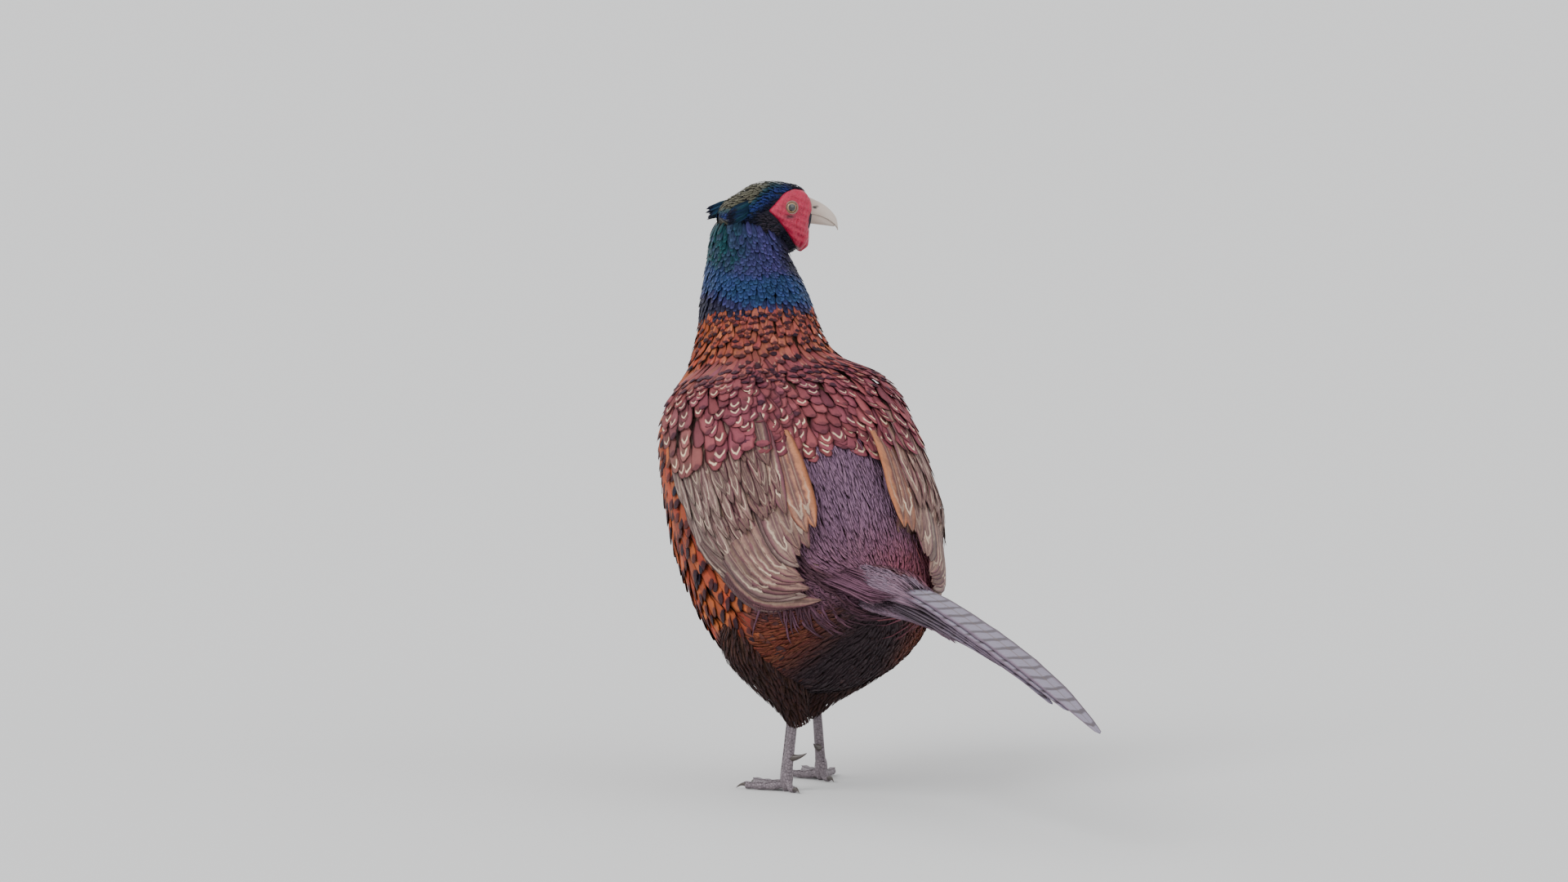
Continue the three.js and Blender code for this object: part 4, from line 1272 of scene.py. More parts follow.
def quill_material():
    """Buff-brown vanes with dark shafts and streaks, fine mottling, pale V lines and coloured edges."""
    shade = Shade("wing_quill")
    across, along = shade.vane()
    luck = shade.value("luck")
    waver = shade.noise(130.0, detail=5.0) - 0.5
    edge = shade.ramp(abs(across) + waver * 0.7, 0.5, 0.8)
    ring = (abs(across) ** 1.3 + ((along - 0.66).most(0.0) / 0.3) ** 1.3) ** 0.77 + waver * 0.6
    line = shade.ramp(ring, 0.42, 0.5) * (1 - shade.ramp(ring, 0.58, 0.66)) * shade.ramp(along, 0.4, 0.75)
    streak = 1 - shade.ramp(abs(across) + waver * 0.6, 0.12, 0.4)
    bars = shade.ramp((along * 30 + abs(across) * 3 + luck * 5 + waver * 7).sine(), 0.0, 0.9)
    shaft = 1 - shade.ramp(abs(across), 0.03, 0.08)
    strands = ((along - abs(across) * 0.1) * 480).sine() * 0.5 + 0.5
    colour = shade.mix(streak * 0.8, shade.colour("ground"), rgb(0.085, 0.036, 0.044))
    colour = shade.mix(bars * 0.25, colour, rgb(0.05, 0.03, 0.024))
    colour = shade.mix(edge * 0.85, colour, shade.colour("edge"))
    colour = shade.mix(line * (0.3 + luck * 0.7), colour, rgb(0.5, 0.38, 0.28))
    colour = shade.mix(shaft * 0.5, colour, rgb(0.3, 0.2, 0.14))
    colour = shade.vary(colour, value=0.5 + luck * 0.3 + strands * 0.2 + shade.noise(500.0) * 0.6)
    return shade.surface(colour, 0.6, strands * 0.5 + shaft, 0.0002, Specular_IOR_Level=0.25)


ARM_PLATE = (7.7, 4.7, 28, 78)  # its fore and rear ends in sections, and its edges in degrees


def wing_plate(side, material):
    """The folded arm and hand under the quills: a curved, closed shell on the trunk."""
    mirror = SIGNS[side]
    fore, rear, inner, outer = ARM_PLATE
    at, turn = np.meshgrid(np.linspace(fore, rear, 24), np.linspace(inner, outer, 20), indexing="ij")
    edge = np.minimum((fore - at) / 0.8, (at - rear) / 0.8)
    edge = np.minimum(edge, np.minimum((turn - inner) / 14, (outer - turn) / 12))
    top = trunk.point(at, turn * mirror, 9.5 * np.sqrt(np.clip(edge, 0, 1)) - 2.5)
    under = trunk.point(at, turn * mirror, np.full(at.shape, -3.0))
    points = np.concatenate([top.reshape(-1, 3), under.reshape(-1, 3)])
    upper, lower, wall = slab_faces(*at.shape)
    faces = np.concatenate([upper, lower, wall[:, ::-1]])
    if mirror < 0:
        faces = faces[:, ::-1]
    spot = np.stack([(turn - inner) / 104, (at - rear) / 3.2], -1).reshape(-1, 2)
    maps = {"OFBake": np.concatenate([spot, spot + [0.5, 0]])}
    return mesh_piece(f"wing_arm_{side}", points, [], faces, material, maps)


# The shell under the quills takes the same dark skin, as painted shade between the quills.
wing_painted_shade_skin = painted_shade_skin_material()
QUILL_PAINT = quill_material()
for side_name in LEGS:
    rng = np.random.default_rng(11 if side_name == "left" else 12)
    finish_piece(wing_plate(side_name, wing_painted_shade_skin), "wing_feathers", f"wing_{side_name}")
    rows = [row_of_quills(side_name, row, rng) for row in WING_ROWS]
    finish_piece(quill_mesh(f"wing_quills_{side_name}", *joined(rows), QUILL_PAINT), "wing_feathers")

# %% [markdown]
# ## Scapulars
#
# Over the wings' fore ends lie the scapulars and lesser coverts, coloured like the back: rose with a
# cream U round a dark heart, and growing larger towards the tail. They hide where wing and back meet.

# %% Scapulars
def scapular_place(sign):
    def chosen(at, turn):
        side = turn * sign
        return (side > 10) & (side < 80) & (at < 8.2) & (at > 5.5 + 0.008 * side)

    return chosen


def scapular_paint(at, turn, rng):
    n = len(at)
    side = np.abs(turn)
    maroon = smooth(at, 7.2, 7.9)
    grey = smooth(side, 50, 72) * (1 - smooth(at, 6.6, 7.6))
    ground = layered(n, ROSE, (maroon * 0.5, COPPER), (grey * 0.5, (0.24, 0.11, 0.09)))
    ground *= 1 + 0.25 * rng.normal(0, 1, (n, 1)).clip(-1, 1)
    heart = layered(n, (0.07, 0.025, 0.028), (grey * 0.7, (0.12, 0.07, 0.055)))
    marked = (1 - maroon) * (rng.uniform(0, 1, n) > 0.5)
    notch = np.clip(maroon * 0.8 + (marked == 0) * rng.uniform(0.1, 0.9, n), 0, 0.9)
    return looks(
        n, ground, heart, CREAM, (0.03, 0.012, 0.024), 0.75 * (marked > 0), marked * 0.95, notch, gloss=0.2
    )


for side_name, sign in SIGNS.items():
    coat(
        f"coat_scapulars_{side_name}", trunk, lambda at, turn: 5.4 + 3.2 * smooth(at, 7.9, 5.9),
        scapular_place(sign), (4.5, 8.3), scapular_paint, reach=3.7, breadth=0.8, rise=(-3.0, 0.5),
        swing=7, thick=0.2, fray=0.22, count=34000, seed=21 + sign, slot="wing_feathers", bulge=over_wing,
    )

# %% [markdown]
# ## Wing coverts
#
# Between the scapulars and the long quills, narrow streaky feathers lie over the rows and hide their order.

# %% Wing coverts
def covert_place(sign):
    def chosen(at, turn):
        side = turn * sign
        return (side > 27) & (side < 79) & (at < 6.3) & (at > 4.1 - 0.008 * np.abs(turn))

    return chosen


def covert_paint(at, turn, rng):
    """Streaky feathers over the rows, from rose-brown at the back to grey-buff at the wing's edge."""
    n = len(at)
    luck = rng.uniform(0, 1, n)
    outer = smooth(np.abs(turn), 44, 74)
    ground = layered(
        n, (0.27, 0.16, 0.125), (outer, (0.24, 0.185, 0.15)), (luck * 0.5, (0.15, 0.055, 0.068))
    )
    edge = layered(
        n, (0.14, 0.04, 0.056), (outer * 0.6, (0.17, 0.1, 0.09)), ((luck > 0.7) * 0.7, (0.36, 0.26, 0.2))
    )
    return {"ground": ground * rng.uniform(0.5, 1.25, (n, 1)), "edge": edge * rng.uniform(0.6, 1.3, (n, 1))}


for side_name, sign in SIGNS.items():
    coat(
        f"coat_coverts_{side_name}", trunk, lambda at, turn: 9.5 + 1.5 * smooth(at, 5.6, 4.4),
        covert_place(sign), (3.6, 6.4), covert_paint, reach=5.6, breadth=0.48, shape=(POINTED, POINTED_AT),
        rise=(-3.4, -0.8), swing=4, thick=0.25, count=16000, seed=25 + sign, slot="wing_feathers",
        bulge=over_wing, material=QUILL_PAINT,
    )

# %% [markdown]
# ## Tail
#
# The tail has two long middle feathers and shorter ones in steps to both sides, each roofed along its
# shaft. They are lilac-grey with dark bars two centimetres apart and a loose mauve fringe, and hair-like
# coverts hide their roots.

# %% Tail
TAIL = {"root": 130, "height": 174.5, "slope": 0.02, "sag": 0.00045}
BAR_PITCH = 21  # from one dark bar to the next along a feather
RECTRICES = [[355, 398], [335, 328], [292, 298], [250, 246], [210, 213], [175, 170], [141, 145]]
ROOF = 70
TAIL_ARCH = 4.5  # how far the middle feathers rise over the tail's root
TAIL_ALONG = np.concatenate([[0], np.linspace(0.02, 0.9, 26), [0.94, 0.97, 0.99, 1]])


def tail_height(y):
    run = y - TAIL["root"]
    return TAIL["height"] - TAIL["slope"] * run - TAIL["sag"] * run**2


def rectrix_width(u):
    near = 0.85 + 0.15 * np.sin(np.minimum(u, 0.5) * np.pi)
    return np.where(u < 0.5, near, 1 - 0.82 * (np.clip(u - 0.5, 0, 1) / 0.5) ** 2.7)


def rectrices(rng):
    places, halves, lengths, painted_shades = [], [], [], []
    for order, pair in enumerate(RECTRICES):
        for sign, length in zip((1, -1), pair):
            away = 3 if order == 0 else 9 + 0.5 * (order - 1)
            level = 1.5 * ((1 - sign) / 2 if order == 0 else -order - 1)
            y = TAIL["root"] - 8 + TAIL_ALONG * (length + 8)
            sway = 1.5 * np.sin(TAIL_ALONG * 2.2 + rng.uniform(0, 6)) * TAIL_ALONG
            x = sign * away * (0.75 + 0.25 * TAIL_ALONG) + sway
            rise = TAIL_ARCH * (1 - smooth(y, 150, 330)) * (order < 2)
            z = tail_height(y) + level + rise - x**2 / (2 * ROOF)
            places.append(np.stack([x, y, z], -1))
            halves.append(13 if order == 0 else 8.4)
            lengths.append(length)
            # The outer feathers carry painted shade near their roots, where they lie under the middle pair.
            painted_shades.append(0.85 * (order > 0))
    return (np.array(x, float) for x in (places, halves, lengths, painted_shades))


def tail_material():
    shade = Shade("tail_quill")
    across, along = shade.vane()
    far = along * shade.value("length")
    waver = shade.noise(90.0, detail=4.0) - 0.5
    wave = ((far / BAR_PITCH + abs(across) * 0.2 + waver * 0.35) * WAVE).sine()
    bar = shade.ramp(wave, 0.35, 0.92) * (1 - shade.ramp(abs(across), 0.7, 0.95))
    fringe = shade.ramp(abs(across) + waver * 0.4, 0.62, 0.9)
    shaft = 1 - shade.ramp(abs(across), 0.03, 0.07)
    strands = ((far * 0.9 - abs(across) * 2) * WAVE).sine() * 0.5 + 0.5
    colour = shade.mix(fringe * 0.85, rgb(0.21, 0.185, 0.245), rgb(0.16, 0.1, 0.15))
    # Painted shade: the outer feathers darken towards their roots, where they lie under the middle pair.
    dusk = shade.value("dusk") * (1 - shade.ramp(far, 100.0, 230.0))
    colour = shade.mix(dusk, colour, rgb(0.05, 0.03, 0.045))
    colour = shade.mix(bar * 0.8, colour, rgb(0.045, 0.03, 0.035))
    colour = shade.mix(shaft * 0.5, colour, rgb(0.12, 0.08, 0.06))
    colour = shade.vary(colour, value=0.72 + strands * 0.14 + shade.noise(420.0) * 0.34)
    return shade.surface(colour, 0.58, strands * 0.4 + shaft, 0.0002)


def tail_piece():
    rng = np.random.default_rng(31)
    place, half, length, dusk = rectrices(rng)
    shape = rectrix_width(TAIL_ALONG)
    shape[0] = shape[-1] = 0
    out = np.broadcast_to(UP, place.shape)
    crown = np.full(len(half), 0.5 / ROOF)
    feathers = vanes(place, out, half, shape, 7, crown, 0.6, TAIL_ALONG, 0.05, rng)
    # dusk carries the painted shade of the outer feathers.
    values = {"length": length, "dusk": dusk, "luck": rng.uniform(0, 1, len(half))}
    return quill_mesh("tail_quills", feathers, values, tail_material())


finish_piece(tail_piece(), "tail_feathers", "tail")


def tail_hair():
    """Loose strands over the tail's roots and along its sides, from the rump out."""
    rng = np.random.default_rng(32)
    count = 3000
    fringe = rng.uniform(0, 1, count) < 0.45
    turn = np.where(
        fringe, rng.choice([-1, 1], count) * rng.uniform(52, 92, count), rng.uniform(-76, 76, count)
    )
    start = np.where(fringe, rng.uniform(0, 130, count), rng.uniform(-50, 30, count)) + TAIL["root"]
    length = np.where(
        fringe, rng.uniform(26, 44, count), rng.uniform(24, 48, count) + 44 * smooth(np.abs(turn), 24, 60)
    )
    u = STRAND_AT[None]
    y = start[:, None] + u * length[:, None]
    shrink = 1 - 0.45 * smooth(y, 120, 260)
    lift = np.where(fringe, 0.5, rng.uniform(1.0, 6.0, count))[:, None] * (0.4 + 0.6 * np.sin(u * np.pi))
    angle = np.radians(turn)[:, None]
    x = np.sign(angle) * (21 * shrink + lift * 0.4) * np.abs(np.sin(angle)) ** 0.8
    rise = TAIL_ARCH * (1 - smooth(y, 140, 240)) * np.cos(angle)
    over = tail_height(y) + rise + (13 * shrink + lift) * np.cos(angle)
    z = over - 9.0 * shrink - 5.0 * fringe[:, None] * (1 + u)
    place = np.stack([x, y, z], -1)
    ones = np.ones_like(y)
    out = unit(np.stack([np.sin(angle) * ones, 0 * ones, np.cos(angle) * ones], -1))
    half = rng.uniform(0.5, 1.2, count)
    feathers = vanes(place, out, half, STRAND, 3, np.full(count, 0.02), 0.25, STRAND_AT, 0.2, rng)
    luck = rng.uniform(0, 1, count)
    ground = layered(
        count, (0.24, 0.17, 0.225), (luck * 0.5, MAUVE),
        ((turn < 0) * (start < 150) * 0.5, (0.19, 0.05, 0.045))
    )
    values = looks(count, ground, ground * 0.5, None, LILAC, 0.5, 0, 0.7 * luck, 0.15)
    values["luck"] = luck
    roots = np.stack([0.02 + 0.62 * (turn + 180) / 360, 0.02 + 0.2 * (start - start.min()) / 160], -1)
    return coat_piece("coat_tail_hair", feathers, roots, HAIR_PAINT, values)


def tail_skirt():
    """Long strands that leave the rump's end and lie over the tail's root, drawn together as they go."""
    rng = np.random.default_rng(33)
    count = 1900
    at, turn = rng.uniform(0.75, 2.3, count), rng.uniform(-50, 46, count)
    root, out, _, _ = trunk.frame(at, turn, -1.5)
    length = rng.uniform(30, 60, count) * (1 + 0.4 * smooth(np.abs(turn), 10, 60))
    u = STRAND_AT[None, :, None]
    way = unit(np.array([0.0, 1.0, -0.16]) + 0.16 * out + rng.normal(0, 0.035, (count, 3)))
    place = root[:, None] + u * length[:, None, None] * way[:, None]
    place[..., 0] *= 1 - 0.5 * u[..., 0]
    place[..., 2] -= (5 + 16 * np.abs(turn[:, None]) / 88) * u[..., 0] ** 2
    above = smooth(place[..., 1], 120, 140) * (1 - smooth(np.abs(place[..., 0]), 14, 30))
    floor = tail_height(place[..., 1]) + 2.0
    place[..., 2] += above * np.maximum(floor - place[..., 2], 0)
    outs = np.broadcast_to(unit(out + np.array([0.0, 0.4, 0.6]))[:, None], place.shape)
    half = rng.uniform(0.6, 1.3, count)
    feathers = vanes(place, outs, half, STRAND, 3, np.full(count, 0.02), 0.25, STRAND_AT, 0.2, rng)
    luck = rng.uniform(0, 1, count)
    red = 1 - smooth(turn, -50, 10)
    far = 1 - smooth(at, 0.8, 1.7)
    ground = layered(
        count, MAUVE, (red * 0.6, (0.24, 0.05, 0.07)), (far * 0.6, (0.22, 0.15, 0.19)),
        (luck * 0.5, (0.1, 0.05, 0.075))
    )
    values = looks(count, ground, ground * 0.6, None, LILAC, 0.4, 0, 0.6 * luck, 0.15)
    values["luck"] = luck
    return coat_piece("coat_tail_skirt", feathers, trunk.unwrap(at, turn), HAIR_PAINT, values)


finish_piece(tail_hair(), "tail_feathers")
finish_piece(tail_skirt(), "tail_feathers")

# %% [markdown]
# ## Bare face
#
# The face is red, soft skin in folds, full of fine warts, with a lobe below the bill's corner. The
# outline and its swellings are drawn as one height over the head's side, and the sheet is closed behind.

# %% Face
LOBES = [
    (45.5, 422, 6, 3.8, 8.2), (40, 434.5, 6.5, 2.8, 9), (30, 439, 6.5, 2.2, 6), (41, 459, 7.5, 2.0, 3.2)
]
LID_RING = 5.6
EYE_HOLE = 4.9


def head_side(forward, height):
    """Half width of the head at a place of its side."""
    rows = np.array(HEAD, float)
    at = np.interp(forward, rows[:, 0], np.arange(len(rows)))
    _, middle, up, down, side = np.moveaxis(between(HEAD, at), -1, 0)
    share = np.clip(np.abs(height - middle) / np.where(height > middle, up, down), 0, 0.999)
    return side * softened(np.sqrt(1 - np.clip(share ** (1 / FULLNESS), 0, 1) ** 2))


def face_height(forward, height):
    """How far the red skin stands off the head."""
    inside = inside_outline(forward, height, FACE, 0.3)
    rise = 2.3 * np.sqrt(np.clip(inside / 3.2, 0, 1))
    for f, h, along, out, up in LOBES:
        dome = np.clip(1 - ((forward - f) / along) ** 2 - ((height - h) / up) ** 2, 0, 1)
        rise = np.maximum(rise, out * np.sqrt(dome) + 0.9)
    fold = 0.35 * np.sin(1.1 * height + 0.5 * forward) + 0.25 * np.sin(1.9 * forward - 0.6 * height)
    from_eye = np.hypot(forward - EYE["forward"], height - EYE["height"])
    ring = 0.3 * np.cos(1.5 * (from_eye - LID_RING)) * np.exp(-((from_eye - LID_RING) / 5) ** 2)
    return rise + np.clip(rise, 0, 1) * (fold + ring) * smooth(from_eye, 5.5, 7)


def face_material():
    shade = Shade("bare_face")
    spots = shade.node(
        "ShaderNodeTexVoronoi", {}, {"Vector": shade.place(), "Scale": 900.0}, out="Distance"
    )
    dot = 1 - shade.ramp(spots, 0.12, 0.3)
    blotch = shade.noise(150.0, detail=4.0)
    colour = shade.mix(blotch, rgb(0.27, 0.002, 0.024), rgb(0.46, 0.007, 0.055))
    colour = shade.mix(dot * 0.55, colour, rgb(0.1, 0.004, 0.016))
    # Painted shade: near black just below the eye.
    colour = shade.mix(shade.value("smudge"), colour, rgb(0.035, 0.004, 0.012))
    return shade.surface(
        colour, 0.5 - blotch * 0.1, dot * -1 + blotch * 0.6, 0.0004, Subsurface_Weight=0.12,
        Subsurface_Scale=0.002
    )


def face_piece(side, material):
    sign = SIGNS[side]
    ring_count, spoke_count = 34, 120
    centre = np.array([36.0, 444.0])
    corners = np.array(FACE, float)
    step = np.linspace(0, 1, 12, endpoint=False)[:, None]
    dense = np.concatenate([lerp(a, b, step) for a, b in zip(corners, np.roll(corners, -1, 0))])
    place = np.linspace(0, len(dense), spoke_count, endpoint=False)
    whole, round_again = np.arange(len(dense) + 1), np.concatenate([dense, dense[:1]])
    rim = np.stack([np.interp(place, whole, round_again[:, i]) for i in (0, 1)], -1)
    rim = (rim + np.roll(rim, 1, 0) + np.roll(rim, -1, 0)) / 3
    share = np.linspace(0, 1, ring_count)[1:]
    sheet = centre + share[:, None, None] * (rim - centre)
    points2 = np.concatenate([[centre], sheet.reshape(-1, 2)])
    forward, height = points2[:, 0], points2[:, 1]
    base = head_side(forward, height)
    top = base + face_height(forward, height)
    top[-spoke_count:] = base[-spoke_count:] - 0.8
    eye_hole = np.hypot(forward - EYE["forward"], height - EYE["height"])
    top = np.where(eye_hole < EYE_HOLE, np.minimum(top, base - 2.5), top)
    out_side = head_place(forward, sign * top, height)
    in_side = head_place(forward, sign * (base - 3.2), height)
    count = len(points2)
    c = np.arange(spoke_count)
    nxt = (c + 1) % spoke_count
    fan = np.stack([np.zeros_like(c), 1 + c, 1 + nxt], -1)
    quads = 1 + grid_faces(ring_count - 1, spoke_count)
    last = 1 + (ring_count - 2) * spoke_count
    wall = np.stack([last + c, last + nxt, last + nxt + count, last + c + count], -1)
    tris = np.concatenate([fan, fan[:, ::-1] + count])
    faces = np.concatenate([quads[:, ::-1], quads + count, wall[:, ::-1]])
    spot = (points2 - [8, 410]) / 118
    maps = {"OFBake": np.concatenate([spot, spot + [0.5, 0]])}
    # A value for the painted shade just below the eye.
    under_eye = np.exp(-(((forward - 28.5) / 5) ** 2) - ((height - 443.8) / 2.0) ** 2)
    values = {"smudge": np.tile(np.clip(under_eye * 0.9, 0, 1), 2)}
    piece = mesh_piece(
        f"bare_face_{side}", np.concatenate([out_side, in_side]), tris, faces, material, maps, values
    )
    outward(piece)
    return piece


print("the face stands", face_height(40.0, 434.5).round(1), "mm off the head over its lobe")

# %% [markdown]
# ## Eyes and lids
#
# Each eye is a ball with its iris and pupil coloured by how far they lie from the gaze, under a clear coat
# that gives the wet gleam. A lid of soft rings goes round it.

# %% Eyes and lids
def ring_ways(axis, segments):
    """Steps straight out from an axis, all the way round it, and their angles."""
    side = unit(np.cross(axis, UP))
    top = np.cross(side, axis)
    angle = np.arange(segments) * 2 * np.pi / segments
    return np.cos(angle)[:, None] * side + np.sin(angle)[:, None] * top, angle


def spun(name, profile, centre, axis, material, segments=48, values=None):
    """A closed piece turned round an axis. profile has pairs of radius and distance along the axis."""
    profile = np.array(profile, float)
    axis = unit(np.array(axis, float))
    ring, angle = ring_ways(axis, segments)
    points = centre + profile[1:-1, 1, None, None] * axis + profile[1:-1, 0, None, None] * ring
    ends = centre + profile[[0, -1], 1, None] * axis
    rows = len(profile) - 2
    tris, quads = capped_faces(rows, segments)
    spot = grid_spots(np.linspace(0.05, 0.95, rows), angle / 7)[:, ::-1]
    maps = {"OFBake": np.concatenate([spot, [[0.45, 0.02], [0.45, 0.98]]])}
    spread = None
    if values is not None:
        spread = {"ring": np.concatenate([np.repeat(values[1:-1], segments), values[[0, -1]]])}
    points = np.concatenate([points.reshape(-1, 3), ends])
    piece = mesh_piece(name, points, tris, quads, material, maps, spread)
    outward(piece)
    return piece


def eye_material():
    """Pupil, iris with fine spokes, and a dark rim where it meets the lid."""
    shade = Shade("wet_eye")
    ring = shade.value("ring")
    spokes = shade.noise(900.0, detail=4.0)
    iris = shade.mix(spokes, rgb(0.2, 0.12, 0.06), rgb(0.46, 0.31, 0.17))
    colour = shade.mix(shade.ramp(ring, 0.8, 0.95), iris, rgb(0.06, 0.03, 0.02))
    colour = shade.mix(1 - shade.ramp(ring, 0.5, 0.56), colour, rgb(0.002, 0.002, 0.003))
    return shade.surface(colour, 0.12, Coat_Weight=1.0, Coat_Roughness=0.02)


def lid_material():
    shade = Shade("eyelid")
    grain = shade.noise(600.0, detail=3.0)
    return shade.surface(shade.mix(grain, rgb(0.12, 0.05, 0.04), rgb(0.3, 0.18, 0.14)), 0.5, grain, 0.0002)


LID = {"radius": 5.0, "out": 4.2, "thick": 0.62}


def eye_pieces(side, eye_paint, lid_paint):
    sign = SIGNS[side]
    centre = head_place(EYE["forward"], sign * EYE["side"], EYE["height"])
    axis = HEAD_LEFT * sign
    angles = np.linspace(np.pi, 0, 40)
    ring = np.degrees(angles) / 60
    profile = [(EYE["radius"] * np.sin(a), EYE["radius"] * np.cos(a)) for a in angles]
    ball = spun(f"eye_{side}_ball", profile, centre, axis, eye_paint, values=ring)
    finish_piece(ball, "eye", f"eye_{side}")
    around = np.linspace(0, 2 * np.pi, 17)[:-1]
    radius, away, thick = LID.values()
    tube = [(radius + thick * np.cos(a), away + thick * np.sin(a)) for a in around]
    lid = ring_piece(f"eyelid_{side}", tube, centre, axis, lid_paint)
    finish_piece(lid, "face_skin")


def ring_piece(name, tube, centre, axis, material, segments=56):
    """A closed ring: a small section carried round an axis."""
    tube = np.array(tube)
    way, _ = ring_ways(axis, segments)
    points = centre + tube[None, :, 1, None] * axis + tube[None, :, 0, None] * way[:, None]
    n = len(tube)
    r, c = np.meshgrid(np.arange(segments), np.arange(n), indexing="ij")
    here, after, nxt = r * n, (r + 1) % segments * n, (c + 1) % n
    quads = np.stack([here + c, here + nxt, after + nxt, after + c], -1)
    spot = np.stack([r / segments, c / n], -1).reshape(-1, 2)
    piece = mesh_piece(name, points.reshape(-1, 3), [], quads.reshape(-1, 4), material, {"OFBake": spot})
    outward(piece)
    return piece


FACE_PAINT, EYE_PAINT, LID_PAINT = face_material(), eye_material(), lid_material()
for side_name in LEGS:
    finish_piece(face_piece(side_name, FACE_PAINT), "face_skin", f"face_{side_name}")
    eye_pieces(side_name, EYE_PAINT, LID_PAINT)

# %% [markdown]
# ## Bill
#
# Both halves are lofted through sections from the gape to the tip: the upper one arched, hooked and with a
# slit nostril, the lower one a shallow trough. The horn is pinkish ivory, paler towards the tip.

# %% Bill
UPPER_BILL = [
    (42, 455, 445.5, 6.4), (50, 456.8, 444.5, 6.6), (57, 454.3, 443.2, 5.9), (64, 450.5, 440.6, 5),
    (70, 445.6, 437, 3.7), (74.5, 439.5, 433, 2.2), (76, 432, 429.8, 0.9),
]
LOWER_BILL = [
    (42, 437.5, 445.2, 5.6), (50, 436, 444.2, 5.6), (57, 435, 442.7, 4.8), (64, 434, 440.2, 3.6),
    (70, 433, 436.7, 2.2), (73, 432.6, 434.5, 1),
]


NOSTRIL = {"forward": 55.5, "height": 449.2, "long": 3.6, "high": 1.3, "deep": 1.5}


def bill_half(name, rows, material):
    at = np.linspace(0, len(rows) - 1, 44)
    forward, outer, mouth, half = (v[:, None] for v in np.moveaxis(between(rows, at), -1, 0))
    angle = np.linspace(0, 2 * np.pi, 33)[:-1][None]
    c, s = np.cos(angle), np.sin(angle)
    arch = np.where(c > 0, np.abs(c) ** 0.85, -0.08 * np.abs(c) ** 0.5)
    left = half * np.sign(s) * np.abs(s) ** 0.8
    height = mouth + (outer - mouth) * arch
    ahead = (forward - NOSTRIL["forward"]) / NOSTRIL["long"]
    above = (height - NOSTRIL["height"]) / NOSTRIL["high"]
    nostril = np.exp(-(ahead**2) - above**2)
    nostril = nostril * (rows is UPPER_BILL)
    left = left - np.sign(left) * NOSTRIL["deep"] * nostril
    points = head_place(forward + 0 * left, left, height)
    ends = points[[0, -1]].mean(1)
    r, n = points.shape[:2]
    tris, quads = capped_faces(r, n)
    spot = grid_spots(np.linspace(0.05, 0.95, r), np.linspace(0.05, 0.95, n))
    maps = {"OFBake": np.concatenate([spot, [[0.01, 0.5], [0.99, 0.5]]])}
    # The nostril's slit is painted near black: painted shade in its opening.
    dark = np.concatenate([np.broadcast_to(nostril, left.shape).ravel(), [0, 0]])
    tip = np.concatenate([np.broadcast_to(smooth(forward, 44, 74), left.shape).ravel(), [0, 1]])
    points = np.concatenate([points.reshape(-1, 3), ends])
    piece = mesh_piece(name, points, tris, quads, material, maps, {"dark": dark, "tip": tip})
    outward(piece)
    return piece


def bill_material():
    shade = Shade("bill_horn")
    grain = shade.noise(140.0, detail=4.0, stretch=(0.35, 1.0, 1.0))
    fine = shade.noise(800.0)
    colour = shade.mix(grain, rgb(0.3, 0.21, 0.17), rgb(0.46, 0.37, 0.32))
    colour = shade.mix(shade.value("tip") * 0.6, colour, rgb(0.6, 0.54, 0.47))
    # Painted shade in the nostril's slit, near black.
    colour = shade.mix(shade.ramp(shade.value("dark"), 0.3, 0.75), colour, rgb(0.02, 0.012, 0.01))
    return shade.surface(colour, 0.34 + fine * 0.14, grain + fine * 0.3, 0.0001)


BILL_PAINT = bill_material()
finish_piece(bill_half("bill_upper", UPPER_BILL, BILL_PAINT), "bill", "upper_bill")
finish_piece(bill_half("bill_lower", LOWER_BILL, BILL_PAINT), "bill", "lower_bill")

# %% [markdown]
# ## Ear tufts
#
# Behind each eye a few longer, glossy feathers stand back and out from the crown.

# %% Ear tufts
TUFT = {"forward": -8, "side": 14.5, "height": 452, "sweep": 26, "drop": 20, "length": 25}


def ear_tuft(side):
    rng = np.random.default_rng(41)
    sign = SIGNS[side]
    count = 44
    spread = rng.uniform(-1, 1, (count, 2))
    sweep, drop = math.radians(TUFT["sweep"]), math.radians(TUFT["drop"])
    way = unit(-math.cos(sweep) * HEAD_FORWARD + sign * math.sin(sweep) * HEAD_LEFT - math.tan(drop) * UP)
    start = head_place(
        TUFT["forward"] + 8 + 3 * spread[:, 0], sign * (TUFT["side"] - 2.5),
        TUFT["height"] + 2 + 3.5 * spread[:, 1]
    )
    run = (TUFT["length"] + 6) * rng.uniform(0.8, 1.0, count)[:, None, None] * POINTED_AT[None, :, None]
    fan = 0.07 * spread[:, 1, None, None] * UP + 0.05 * spread[:, 0, None, None] * HEAD_LEFT
    place = start[:, None] + run * (way + fan * POINTED_AT[None, :, None])
    out = np.broadcast_to(unit(sign * HEAD_LEFT * 0.9 + 0.4 * UP), place.shape)
    half = rng.uniform(2.0, 2.8, count)
    feathers = vanes(place, out, half, POINTED, 3, np.full(count, 0.03), 0.3, POINTED_AT, 0.1, rng)
    luck = rng.uniform(0, 1, count)
    ground = layered(count, (0.012, 0.05, 0.07), (luck * 0.6, (0.02, 0.03, 0.12)))
    values = looks(count, ground, INK, None, INK, 0.4, 0, 0.9, 0.8)
    values["luck"] = luck
    roots = head.patch[0] + np.stack([0.1 + 0.01 * spread[:, 0], 0.1 + 0.01 * spread[:, 1]], -1)
    return coat_piece(f"ear_feathers_{side}", feathers, roots, FEATHER_PAINT, values)


